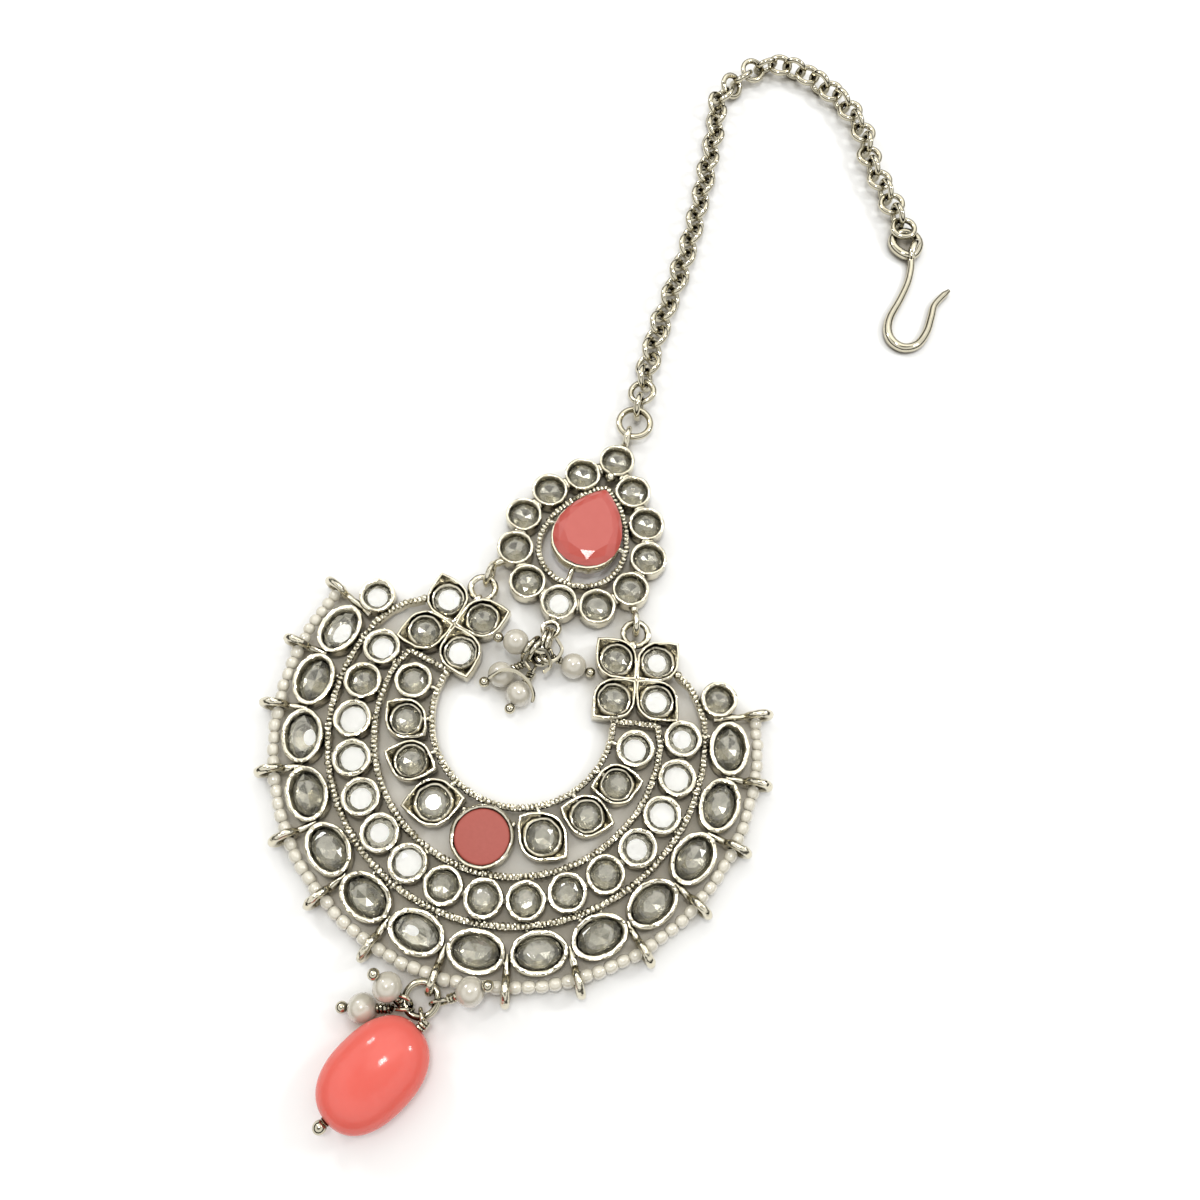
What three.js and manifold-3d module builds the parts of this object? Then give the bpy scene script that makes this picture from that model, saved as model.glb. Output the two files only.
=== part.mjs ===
// A maang tikka: a pierced crescent of set stones under a teardrop top piece, with a chain and a hair hook.
// Sizes in millimetres. +Y runs from the crescent to the chain, +Z up from the surface it lies on.
// Plan positions are measured from the centre of the crescent's rows.
import * as THREE from "three";
import Module from "manifold-3d";

const wasm = await Module();
wasm.setup();

// Heights above the surface
const BACK_Z = 0.9;
const RIM_Z = 3.4;
const ROPE_Z = 2.9;
const SEAT_Z = 1.9;
const TABLE_Z = 2.5;

// Small cut stones: the girdle as a share of the cup's opening, the table and keel as shares of the girdle
const GIRDLE_SHARE = 0.96;
const TABLE_SHARE = 0.6;
const KEEL = { share: 0.25, lift: 0.1 };
const STONE_GAP = 0.03;

// Middle row of the crescent: round cups between two roped wires
const MIDDLE_RADIUS = 25.35;
const MIDDLE_PITCH = 13.87;
const MIDDLE_PER_SIDE = 8;
const ROUND_CUP = 5.9;
const ROUND_CUP_INNER = 4.6;
const ROUND_SIDES = 8;

// Roped wires, with the clearance between a rope's middle line and the cups beside it
const ROPE_WIDTH = 0.8;
const ROPE_FOOT = 1.9;
const ROPE_STEP = 7.5;
const ROPE_GAP = { inside: 0.45, outside: 0.55, oval: 0.6, inner: 7.95 };
const MIDDLE_ROPE = { radius: MIDDLE_RADIUS - ROUND_CUP / 2 - ROPE_GAP.inside, end: 100.7 };
const OUTER_ROPE = { radius: MIDDLE_RADIUS + ROUND_CUP / 2 + ROPE_GAP.outside, end: 111 };
const INNER_ROPE = { y: 2.2, radius: MIDDLE_ROPE.radius - ROPE_GAP.inner, end: 105.4 };
const INNER_WEB = { bite: 0.1, reach: 1.9, width: 1.3 };

// Outer row: oval cups with their own stones, and a round cup at each end
const OVAL_CUP = { length: 8.5, width: 6.3 };
const OUTER_RADIUS = OUTER_ROPE.radius + OVAL_CUP.width / 2 + ROPE_GAP.oval;
const OUTER_PITCH = 15.72;
const OUTER_PER_SIDE = 7;
const OVAL_SIDES = 10;
const OVAL_RIM = 0.62;
const OVAL_SEAT_INSET = 1.15;
const END_CUP = { beyond: 0.97, angle: 116.13, outer: 5.8 };

// Places within the middle rope: how far beyond it they are (inside is negative) and their angle
// from -Y. Inner row: one round cup, three pointed cups each side, a coral disc on the axis.
const INNER_ROUND = { beyond: -3.8, angle: 97.82 };
const INNER_CUPS = [
  { beyond: -4.7, angle: 77.9, length: 8.2, width: 6.3, turn: -24 },
  { beyond: -5.11, angle: 55.82, length: 8.5, width: 6.4, turn: -1.5 },
  { beyond: -5.3, angle: 30.82, length: 9.6, width: 7.2, turn: 24 },
];
const LEAF_RIM = 0.5;
const LEAF_STONE_SHARE = 0.74;
const CORAL_DISC = {
  gap: 0.26, cup: 9.5, stone: 8.3, room: 0.1, floor: 1.5, lift: 0.02, top: 3.0, bevel: 0.25,
};
const CORAL_SIDES = 16;

// Flowers at the crescent's tips, the short ropes that lead to them, and their rings
const FLOWER = { beyond: -2.03, angle: 130.72, reach: 4.63, length: 9.2, width: 6.6, boss: 1.4 };
const PETAL_TURNS = [122, 32, 209, -58];
const CLOSING_ROPE = [[0.03, 100.75], [-0.44, 109.28], [-6.77, 112.71]];
const TIP_ROPE = [[6.85, 110.95], [6.49, 116.3], [5.83, 121.46], [4.55, 126.87]];
const TIP_RING = { right: -2.18, up: 7.6, ring: 1.85, wire: 0.8, z: 2.2 };
const TIP_NECK = { from: [-0.12, -1.4], to: [0.48, -3.0], width: 1.2 };

// Loops round the outer edge and the bead string through them
const LOOP_BEYOND = 4.8;
const LOOP = { radius: OUTER_RADIUS + LOOP_BEYOND, ring: 1.85, wire: 0.9, z: 2.3, end: 110.9 };
const LOOP_STEM = { inside: 0.1, short: 1.4, bite: 0.292, top: 2.9 };
const END_STEM_INSIDE = 2.2;
const LOOPS_PER_SIDE = 6;
const LOOP_SEGMENTS = 8;
const WIRE_SIDES = 4;
const STRING_INSIDE = 0.35;
const STRING = { radius: LOOP.radius - STRING_INSIDE, width: 1.5, z: 2.1, end: 112.6 };
const STRING_STEPS = 45;
const STRING_SIDES = 8;

// Teardrop piece, standing above the tip rings
const TEARDROP = { x: 0.285, up: 13.69, turn: -3.3 };
const TEARDROP_CUP = 6.2;
const TEARDROP_CUP_INNER = 4.9;
const TEARDROP_CUPS = [
  [0, 15.3], [4.56, 10.7], [8.65, 5.85], [11.0, 0], [10.1, -6.15], [6.03, -11.0],
  [0, -12.5], [-6.03, -11.0], [-10.1, -6.15], [-11.0, 0], [-8.65, 5.85], [-4.56, 10.7],
];
const CUP_WEB = { from: 0.38, to: 0.62, width: 1.4 };
const PEAR_ROPE = { length: 18.9, width: 14.9, y: 0.6 };
const PEAR_CUP = { length: 14.9, width: 11.9, y: 0.7, low: 2.4, high: 5.0, wall: 0.45 };
const PEAR_STONE = { low: 2.9, girdle: 4.75, edge: 0.5, top: 5.9, gap: 0.12, table: 0.62, keel: 0.5 };
const PEAR_SIDES = 16;
const PEAR_TIP = 0.62;
const PEAR_FULL = 1.09;
const STRUTS = [
  [[-6.9, 0.5], [-5.2, 0.6]],
  [[0, -8.4], [0, -5.3]],
  [[6.9, -0.2], [5.2, 0.0]],
  [[0, 9.3], [0, 7.6]],
];
const STRUT = { width: 1.0, low: 1.6, high: 3.0 };
const SOLDER_BALL = { x: 0, y: 12.05, radius: 0.95, sunk: 0.2, sides: 6, rows: 3 };

// Its bail and eyelets, each with a neck from the casting: places from the teardrop's middle, and
// the neck's end from the eyelet
const EYELET_Z = 2.3;
const BAIL = { right: 1.215, up: 20.4, turn: 92.6, ring: 1.9, wire: 0.8 };
const LEFT_EYELET = { inside: 0.22, up: 2.7, turn: 88.8, ring: 1.9, wire: 0.8 };
const RIGHT_EYELET = { inside: 0.52, up: 1.7, turn: 108.5, ring: 1.9, wire: 0.8 };
const LOWER_EYELET = { right: -0.565, up: -17.15, ring: 1.35, wire: 0.75, z: 2.6 };
const NECK = { foot: 1.2, top: 1.0, rise: 0.3 };
const BAIL_NECK = { from: [1.015, 16.7], to: [-0.08, -1.5] };
const LEFT_NECK = { from: [-11.385, -7.3], to: [0.1, 1.9] };
const RIGHT_NECK = { from: [10.615, -8.7], to: [-0.7, 1.9] };
const LOWER_NECK = { from: [-0.685, -14.1], to: [-0.02, 1.15] };

// Ring above the bail, the chain's route from that ring, and the hook's wire from the chain's end
const TOP_RING = { right: 0.4, up: 3.55, ring: 2.75, wire: 1.0, z: 2.2 };
const RING_STEPS = 12;
const CHAIN_ROUTE = [
  [-0.15, 3.9], [-1.3, 18.15], [-1.1, 42.35], [-3.5, 70.85], [-4.8, 77.55], [-2.0, 85.85], [2.8, 91.25],
  [8.4, 92.05], [14.7, 89.65], [20.4, 85.85], [25.2, 79.85], [28.3, 72.65], [32.6, 66.05], [37.45, 58.6],
];
const CHAIN = { width: 4.6, z: 2.3 };
const CHAIN_SIDES = 8;
const CHAIN_STEPS = 48;
const HOOK_WIRE = 1.08;
const HOOK_EYE = { right: 1.5, up: -2.65, ring: 2.15, z: 1.3 };
const HOOK_PATH = [
  [1.15, -2.2, 1.0], [1.95, -4.5, 0.75], [2.05, -8.3, 0.6], [1.35, -12.8, 0.56], [0.25, -17.7, 0.56],
  [0.45, -21.0, 0.56], [1.85, -23.1, 0.56], [4.05, -23.6, 0.56], [6.25, -22.1, 0.56], [7.45, -18.8, 0.56],
  [7.75, -15.1, 0.56], [7.85, -12.2, 0.56], [8.85, -9.7, 0.6], [9.95, -7.8, 0.7],
];
const HOOK_SIDES = 6;
const HOOK_STEPS = 22;
const HOOK_EYE_STEPS = 10;

// Pearls on headpins, hung from a jump ring under each piece. Places are from that ring, and hold is
// the angle round it.
const PEARL = { size: 4.1, sides: 10, rows: 5 };
const PIN = { wire: 0.45, ball: 1.7, bite: 0.05, loop: 1.3, offset: 0.4, clear: 0.08, sides: 6, rows: 3 };
const CENTRE_RING = { right: -0.02, up: -2.45, ring: 2.15, wire: 0.95, z: 2.7, turn: 90, steps: 10 };
const CENTRE_PEARLS = [
  { right: 5.25, up: -2.2, z: 2.15, hold: 168 },
  { right: -5.2, up: -7.0, z: 2.15, hold: 190 },
  { right: -1.5, up: -9.1, z: 2.1, hold: 214 },
  { right: -4.4, up: -1.8, z: 4.2, hold: 138 },
];
const DROP_RING = { x: -0.7, beyond: 3.0, ring: 2.35, wire: 0.8, z: 2.6 };
const DROP_PEARLS = [
  { right: 6.3, up: 2.9, z: 4.95, hold: 5 },
  { right: -4.8, up: 0.2, z: 4.6, hold: 210 },
  { right: -7.5, up: -3.4, z: 2.1, hold: 230 },
];
const DROP = {
  right: -2.7, up: -10.55, z: 4.05, length: 16.0, width: 12.0, depth: 8.0, turn: 61, sides: 16, rows: 8,
};
const DROP_PIN = { ball: 1.9, wire: 0.6, bend: 0.6, hold: -70, loopShare: 0.8, sides: 8, rows: 4 };
const POLE_ROWS = 0.35;

const DEG = Math.PI / 180;
const UP = new THREE.Vector3(0, 0, 1);
const spot = (x, y, z) => new THREE.Vector3(x, y, z);

// A closed skin over rings of equal length. A wrapped skin joins its last ring to its first.
function skin(rings, wrapped = false) {
  const count = rings[0].length;
  const faces = [];
  const spans = wrapped ? rings.length : rings.length - 1;
  for (let row = 0; row < spans; row += 1) {
    const near = row * count;
    const far = ((row + 1) % rings.length) * count;
    for (let side = 0; side < count; side += 1) {
      const next = (side + 1) % count;
      faces.push(near + side, near + next, far + next, near + side, far + next, far + side);
    }
  }
  if (!wrapped) {
    const last = (rings.length - 1) * count;
    for (let side = 1; side < count - 1; side += 1) {
      faces.push(0, side + 1, side, last, last + side, last + side + 1);
    }
  }
  const points = rings.flat();
  let volume = 0;
  for (let face = 0; face < faces.length; face += 3) {
    const normal = new THREE.Vector3().crossVectors(points[faces[face + 1]], points[faces[face + 2]]);
    volume += normal.dot(points[faces[face]]);
  }
  if (volume < 0) {
    faces.reverse();
  }
  const mesh = new wasm.Mesh({
    numProp: 3,
    vertProperties: Float32Array.from(points.flatMap((point) => point.toArray())),
    triVerts: Uint32Array.from(faces),
  });
  return new wasm.Manifold(mesh);
}

function join(forms) {
  return forms.reduce((whole, form) => whole.add(form));
}

// Plan outlines, each a list of [x, y] running anticlockwise from +X
function ellipse(length, width, sides) {
  return Array.from({ length: sides }, (_, index) => {
    const angle = (index / sides) * 2 * Math.PI;
    return [(length / 2) * Math.cos(angle), (width / 2) * Math.sin(angle)];
  });
}

// A circle drawn out to a point at each end
function leaf(length, width) {
  const start = Math.acos(width / length);
  const side = [0, 1, 2].map((step) => {
    const angle = start + ((Math.PI - 2 * start) * step) / 2;
    return [(width / 2) * Math.cos(angle), (width / 2) * Math.sin(angle)];
  });
  return [[length / 2, 0], ...side, [-length / 2, 0], ...side.map(([x, y]) => [-x, -y])];
}

// A pear with its tip toward +Y, from the tip anticlockwise
function pear(length, width) {
  return Array.from({ length: PEAR_SIDES }, (_, index) => {
    const angle = (index / PEAR_SIDES) * 2 * Math.PI;
    const taper = Math.pow(Math.abs(Math.sin(angle / 2)), PEAR_TIP);
    return [-(width / 2) * Math.sin(angle) * taper * PEAR_FULL, (length / 2) * Math.cos(angle)];
  });
}

// An outline laid out at a height, turned and moved in plan
function level(outline, z, at) {
  const turn = (at.turn ?? 0) * DEG;
  return outline.map(([x, y]) => spot(
    at.x + x * Math.cos(turn) - y * Math.sin(turn),
    at.y + x * Math.sin(turn) + y * Math.cos(turn),
    z,
  ));
}

// A cup of any outline closed by the cut stone set in it
function setCup(outer, inner, girdle, at) {
  const table = girdle.map(([x, y]) => [x * TABLE_SHARE, y * TABLE_SHARE]);
  return skin([
    level(outer, BACK_Z, at),
    level(outer, RIM_Z, at),
    level(inner, RIM_Z, at),
    level(girdle, SEAT_Z, at),
    level(table, TABLE_Z, at),
  ]);
}

function roundCup(outer, inner, at) {
  const girdle = ellipse(inner * GIRDLE_SHARE, inner * GIRDLE_SHARE, ROUND_SIDES);
  return setCup(ellipse(outer, outer, ROUND_SIDES), ellipse(inner, inner, ROUND_SIDES), girdle, at);
}

function leafCup(cup) {
  const share = 1 - (2 * LEAF_RIM) / cup.width;
  const stone = cup.width * LEAF_STONE_SHARE;
  return setCup(
    leaf(cup.length, cup.width),
    leaf(cup.length * share, cup.width * share),
    ellipse(stone, stone, ROUND_SIDES),
    cup,
  );
}

// A ring of wire in the plane of the two directions given
function wireRing(centre, across, along, radius, wire, segments) {
  const normal = new THREE.Vector3().crossVectors(across, along).normalize();
  const rings = [];
  for (let step = 0; step < segments; step += 1) {
    const angle = (step / segments) * 2 * Math.PI;
    const out = across.clone().multiplyScalar(Math.cos(angle)).addScaledVector(along, Math.sin(angle));
    const middle = centre.clone().addScaledVector(out, radius);
    rings.push(wireSection(middle, out, normal, wire / 2, WIRE_SIDES));
  }
  return skin(rings, true);
}

function wireSection(middle, out, normal, radius, sides) {
  return Array.from({ length: sides }, (_, index) => {
    const angle = (index / sides) * 2 * Math.PI;
    return middle.clone()
      .addScaledVector(out, radius * Math.cos(angle))
      .addScaledVector(normal, radius * Math.sin(angle));
  });
}

// A flat ring and a ring standing on edge whose plane holds the plan direction given in degrees
function flatRing(ring, segments) {
  return wireRing(spot(ring.x, ring.y, ring.z), spot(1, 0, 0), spot(0, 1, 0), ring.ring, ring.wire, segments);
}

function standingRing(ring, z, turn, segments) {
  const along = spot(Math.cos(turn * DEG), Math.sin(turn * DEG), 0);
  return wireRing(spot(ring.x, ring.y, z), along, UP, ring.ring, ring.wire, segments);
}

// A round wire along points in space
function wireAlong(points, radius, sides, steps) {
  const curve = new THREE.CatmullRomCurve3(points);
  const rings = [];
  for (let step = 0; step <= steps; step += 1) {
    const tangent = curve.getTangentAt(step / steps);
    const side = new THREE.Vector3().crossVectors(tangent, UP).normalize();
    const rise = new THREE.Vector3().crossVectors(side, tangent);
    rings.push(wireSection(curve.getPointAt(step / steps), side, rise, radius, sides));
  }
  return skin(rings);
}

// A bar along plan points, wide at its foot and narrow at its top
function bar(points, foot, top, low, high, closed = false) {
  const count = points.length;
  const rings = points.map(([x, y], index) => {
    const before = points[closed ? (index + count - 1) % count : Math.max(index - 1, 0)];
    const after = points[closed ? (index + 1) % count : Math.min(index + 1, count - 1)];
    const side = new THREE.Vector2(after[1] - before[1], before[0] - after[0]).normalize();
    return [[-foot / 2, low], [foot / 2, low], [top / 2, high], [-top / 2, high]]
      .map(([offset, z]) => spot(x + side.x * offset, y + side.y * offset, z));
  });
  return skin(rings, closed);
}

// Plan points on an arc, angles measured from -Y and positive toward +X
function arc(y, radius, from, to) {
  const steps = Math.ceil(Math.abs(to - from) / ROPE_STEP);
  const step = (to - from) / steps;
  return Array.from({ length: steps + 1 }, (_, index) => onArc(y, radius, from + step * index));
}

function onArc(y, radius, angle) {
  return [radius * Math.sin(angle * DEG), y - radius * Math.cos(angle * DEG)];
}

const mirrored = (points) => points.map(([x, y]) => [-x, y]);
const beyondRope = (reach, angle) => onArc(0, MIDDLE_ROPE.radius + reach, angle);
const beside = (place, [x, y]) => [place.x + x, place.y + y];

// A piece's sizes with its place, given as a distance right of and up from another
function above(place, size) {
  return { ...size, x: place.x + size.right, y: place.y + size.up };
}

// A piece's sizes with its place on the right or left half of the crescent
function rowPlace(size, hand) {
  const [x, y] = beyondRope(size.beyond, size.angle);
  return { ...size, x: hand * x, y };
}

const rope = (points) => bar(points, ROPE_FOOT, ROPE_WIDTH, BACK_Z, ROPE_Z);

// A ball of rows about an axis, drilled along it where a hole is asked for
function ball(centre, axis, size, sides, rows, drilled = false) {
  const along = axis.clone().normalize();
  const side = new THREE.Vector3().crossVectors(UP, along).normalize();
  const rise = new THREE.Vector3().crossVectors(along, side);
  const rings = [];
  for (let row = 0; row <= rows; row += 1) {
    const angle = ((row + POLE_ROWS) / (rows + 2 * POLE_ROWS)) * Math.PI;
    const middle = centre.clone().addScaledVector(along, (-size.length / 2) * Math.cos(angle));
    rings.push(Array.from({ length: sides }, (_, index) => {
      const turn = (index / sides) * 2 * Math.PI;
      return middle.clone()
        .addScaledVector(side, (size.width / 2) * Math.sin(angle) * Math.cos(turn))
        .addScaledVector(rise, (size.depth / 2) * Math.sin(angle) * Math.sin(turn));
    }));
  }
  return skin(rings, drilled);
}

const even = (size) => ({ length: size, width: size, depth: size });

function straightWire(from, to, radius, sides) {
  const along = to.clone().sub(from).normalize();
  const side = new THREE.Vector3().crossVectors(UP, along).normalize();
  const rise = new THREE.Vector3().crossVectors(along, side);
  return skin([from, to].map((end) => wireSection(end, side, rise, radius, sides)));
}

// The crescent casting
function crescentForms() {
  const forms = [];
  for (const hand of [-1, 1]) {
    for (let step = 0; step < MIDDLE_PER_SIDE; step += 1) {
      const angle = hand * MIDDLE_PITCH * (step + 0.5);
      const [x, y] = onArc(0, MIDDLE_RADIUS, angle);
      forms.push(roundCup(ROUND_CUP, ROUND_CUP_INNER, { x, y, turn: angle - 90 }));
    }
    for (let step = 0; step < OUTER_PER_SIDE; step += 1) {
      forms.push(ovalCup(ovalPlace(hand * (step + 0.5))));
    }
    const [endX, endY] = onArc(0, OUTER_RADIUS - END_CUP.beyond, END_CUP.angle);
    forms.push(roundCup(END_CUP.outer, ROUND_CUP_INNER, { x: hand * endX, y: endY, turn: 0 }));
    forms.push(roundCup(ROUND_CUP, ROUND_CUP_INNER, rowPlace({ ...INNER_ROUND, turn: 0 }, hand)));
    for (const cup of INNER_CUPS) {
      forms.push(leafCup({ ...rowPlace(cup, hand), turn: hand < 0 ? cup.turn : 180 - cup.turn }));
    }
    for (const cup of [INNER_ROUND, ...INNER_CUPS]) {
      const { x, y } = rowPlace(cup, hand);
      const out = new THREE.Vector2(x, y - INNER_ROPE.y).normalize();
      const ends = [-INNER_WEB.bite, INNER_WEB.reach].map((reach) => [
        out.x * (INNER_ROPE.radius + reach),
        INNER_ROPE.y + out.y * (INNER_ROPE.radius + reach),
      ]);
      forms.push(bar(ends, INNER_WEB.width, INNER_WEB.width, BACK_Z, ROPE_Z));
    }
    const flower = rowPlace(FLOWER, hand);
    for (const petal of PETAL_TURNS) {
      const turn = hand < 0 ? petal : 180 - petal;
      const [x, y] = beside(flower, [FLOWER.reach * Math.cos(turn * DEG), FLOWER.reach * Math.sin(turn * DEG)]);
      forms.push(leafCup({ x, y, turn, length: FLOWER.length, width: FLOWER.width }));
    }
    const boss = ellipse(FLOWER.boss * 2, FLOWER.boss * 2, WIRE_SIDES);
    const bossAt = { x: flower.x, y: flower.y };
    forms.push(skin([level(boss, BACK_Z, bossAt), level(boss, ROPE_Z, bossAt)]));
    const side = hand < 0 ? mirrored : (points) => points;
    forms.push(rope(side(CLOSING_ROPE.map(([reach, angle]) => beyondRope(reach, angle)))));
    forms.push(rope(side(TIP_ROPE.map(([reach, angle]) => beyondRope(reach, angle)))));
    forms.push(flatRing({ ...tipRing, x: hand * tipRing.x }, LOOP_SEGMENTS));
    const neck = [beside(tipRing, TIP_NECK.from), beside(tipRing, TIP_NECK.to)];
    forms.push(bar(side(neck), TIP_NECK.width, TIP_NECK.width, BACK_Z, ROPE_Z));
    forms.push(loopAt(hand * LOOP.end, END_STEM_INSIDE));
    for (let step = 1; step <= LOOPS_PER_SIDE; step += 1) {
      forms.push(loopAt(hand * step * OUTER_PITCH, LOOP_STEM.inside));
    }
  }
  forms.push(loopAt(0, LOOP_STEM.inside));
  forms.push(rope(arc(INNER_ROPE.y, INNER_ROPE.radius, -INNER_ROPE.end, INNER_ROPE.end)));
  forms.push(rope(arc(0, MIDDLE_ROPE.radius, -MIDDLE_ROPE.end, MIDDLE_ROPE.end)));
  forms.push(rope(arc(0, OUTER_ROPE.radius, -OUTER_ROPE.end, OUTER_ROPE.end)));
  const cup = (size) => ellipse(size, size, CORAL_SIDES);
  const opening = CORAL_DISC.stone + 2 * CORAL_DISC.room;
  forms.push(skin([
    level(cup(CORAL_DISC.cup), BACK_Z, coralAt),
    level(cup(CORAL_DISC.cup), RIM_Z, coralAt),
    level(cup(opening), RIM_Z, coralAt),
    level(cup(opening), CORAL_DISC.floor, coralAt),
  ]));
  return forms;
}

function ovalPlace(steps) {
  const angle = steps * OUTER_PITCH;
  const [x, y] = onArc(0, OUTER_RADIUS, angle);
  return { x, y, turn: angle };
}

function ovalCup(at) {
  const outline = (inset) => ellipse(OVAL_CUP.length - 2 * inset, OVAL_CUP.width - 2 * inset, OVAL_SIDES);
  return skin([
    level(outline(0), BACK_Z, at),
    level(outline(0), RIM_Z, at),
    level(outline(OVAL_RIM), RIM_Z, at),
    level(outline(OVAL_SEAT_INSET), BACK_Z, at),
  ], true);
}

// A cut oval: keel below, girdle on the sloping wall of its cup, table above
function ovalStone(at) {
  const girdleShare = (RIM_Z - SEAT_Z) / (RIM_Z - BACK_Z);
  const inset = OVAL_RIM + (OVAL_SEAT_INSET - OVAL_RIM) * girdleShare + STONE_GAP;
  const girdle = ellipse(OVAL_CUP.length - 2 * inset, OVAL_CUP.width - 2 * inset, OVAL_SIDES);
  const scaled = (share) => girdle.map(([x, y]) => [x * share, y * share]);
  return skin([
    level(scaled(KEEL.share), BACK_Z + KEEL.lift, at),
    level(girdle, SEAT_Z, at),
    level(scaled(TABLE_SHARE), TABLE_Z, at),
  ]);
}

function loopAt(angle, footInside) {
  const [x, y] = onArc(0, LOOP.radius, angle);
  const foot = onArc(0, OUTER_RADIUS - footInside, angle);
  const end = onArc(0, LOOP.radius - LOOP_STEM.short, angle);
  const gap = 2 * OUTER_RADIUS * Math.sin((OUTER_PITCH / 2) * DEG) - OVAL_CUP.length;
  const width = gap + 2 * LOOP_STEM.bite;
  return standingRing({ x, y, ring: LOOP.ring, wire: LOOP.wire }, LOOP.z, angle - 90, LOOP_SEGMENTS)
    .add(bar([foot, end], width, width, BACK_Z, LOOP_STEM.top));
}

// The teardrop casting
function teardropPlace(x, y) {
  const turn = TEARDROP.turn * DEG;
  return [
    teardrop.x + x * Math.cos(turn) - y * Math.sin(turn),
    teardrop.y + x * Math.sin(turn) + y * Math.cos(turn),
  ];
}

function pearLevel(length, width, y, z) {
  const [px, py] = teardropPlace(0, y);
  return level(pear(length, width), z, { x: px, y: py, turn: TEARDROP.turn });
}

function teardropForms() {
  const forms = TEARDROP_CUPS.map(([x, y]) => {
    const [px, py] = teardropPlace(x, y);
    return roundCup(TEARDROP_CUP, TEARDROP_CUP_INNER, { x: px, y: py, turn: Math.atan2(y, x) / DEG });
  });
  TEARDROP_CUPS.forEach((cup, index) => {
    const next = TEARDROP_CUPS[(index + 1) % TEARDROP_CUPS.length];
    const between = (share) => teardropPlace(
      cup[0] + (next[0] - cup[0]) * share,
      cup[1] + (next[1] - cup[1]) * share,
    );
    const ends = [between(CUP_WEB.from), between(CUP_WEB.to)];
    forms.push(bar(ends, CUP_WEB.width, CUP_WEB.width, BACK_Z, ROPE_Z));
  });
  const ropeLevel = pearLevel(PEAR_ROPE.length, PEAR_ROPE.width, PEAR_ROPE.y, 0).map((p) => [p.x, p.y]);
  forms.push(bar(ropeLevel, ROPE_FOOT, ROPE_WIDTH, BACK_Z, ROPE_Z, true));
  const wall = (inset, z) => pearLevel(PEAR_CUP.length - inset, PEAR_CUP.width - inset, PEAR_CUP.y, z);
  forms.push(skin([
    wall(0, PEAR_CUP.low),
    wall(0, PEAR_CUP.high),
    wall(PEAR_CUP.wall * 2, PEAR_CUP.high),
    wall(PEAR_CUP.wall * 2, PEAR_CUP.low),
  ], true));
  for (const [from, to] of STRUTS) {
    const ends = [teardropPlace(...from), teardropPlace(...to)];
    forms.push(bar(ends, STRUT.width, STRUT.width, STRUT.low, STRUT.high));
  }
  const [ballX, ballY] = teardropPlace(SOLDER_BALL.x, SOLDER_BALL.y);
  const ballAt = spot(ballX, ballY, ROPE_Z - SOLDER_BALL.sunk);
  forms.push(ball(ballAt, spot(1, 0, 0), even(SOLDER_BALL.radius * 2), SOLDER_BALL.sides, SOLDER_BALL.rows));
  for (const [eyelet, neck] of [[bail, BAIL_NECK], [leftEyelet, LEFT_NECK], [rightEyelet, RIGHT_NECK]]) {
    forms.push(standingRing(eyelet, EYELET_Z, eyelet.turn, LOOP_SEGMENTS));
    forms.push(neckTo(eyelet, neck, ROPE_Z));
  }
  forms.push(neckTo(lowerEyelet, LOWER_NECK, LOWER_EYELET.z + NECK.rise));
  forms.push(flatRing(lowerEyelet, LOOP_SEGMENTS));
  return forms;
}

function neckTo(eyelet, neck, top) {
  return bar([beside(teardrop, neck.from), beside(eyelet, neck.to)], NECK.foot, NECK.top, BACK_Z, top);
}

function pearStone() {
  const inset = PEAR_CUP.wall * 2 + PEAR_STONE.gap * 2;
  const scaled = (share, z) => pearLevel(
    (PEAR_CUP.length - inset) * share,
    (PEAR_CUP.width - inset) * share,
    PEAR_CUP.y,
    z,
  );
  return skin([
    scaled(PEAR_STONE.keel, PEAR_STONE.low),
    scaled(1, PEAR_STONE.girdle - PEAR_STONE.edge),
    scaled(1, PEAR_STONE.girdle),
    scaled(PEAR_STONE.table, PEAR_STONE.top),
  ]);
}

function coralDisc() {
  const stone = (size) => ellipse(size, size, CORAL_SIDES);
  return skin([
    level(stone(CORAL_DISC.stone), CORAL_DISC.floor + CORAL_DISC.lift, coralAt),
    level(stone(CORAL_DISC.stone), CORAL_DISC.top - CORAL_DISC.bevel, coralAt),
    level(stone(CORAL_DISC.stone - 2 * CORAL_DISC.bevel), CORAL_DISC.top, coralAt),
  ]);
}

// A string of even width along a path, such as the outer form of a chain
function stringAlong(curve, width, sides, steps) {
  const section = new THREE.Shape(ellipse(width, width, sides).map(([x, y]) => new THREE.Vector2(x, y)));
  return new THREE.ExtrudeGeometry(section, { steps, bevelEnabled: false, extrudePath: curve });
}

function chainGeometry() {
  const points = CHAIN_ROUTE.map((point) => spot(...beside(topRing, point), CHAIN.z));
  const curve = new THREE.CatmullRomCurve3(points, false, "centripetal");
  return stringAlong(curve, CHAIN.width, CHAIN_SIDES, CHAIN_STEPS);
}

function beadStringGeometry() {
  const points = arc(0, STRING.radius, -STRING.end, STRING.end).map(([x, y]) => spot(x, y, STRING.z));
  return stringAlong(new THREE.CatmullRomCurve3(points), STRING.width, STRING_SIDES, STRING_STEPS);
}

function hookForms() {
  const path = HOOK_PATH.map(([x, y, z]) => spot(...beside(hookEye, [x, y]), z));
  const shank = wireAlong(path, HOOK_WIRE / 2, HOOK_SIDES, HOOK_STEPS);
  return [shank, flatRing({ ...hookEye, wire: HOOK_WIRE }, HOOK_EYE_STEPS)];
}

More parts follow.
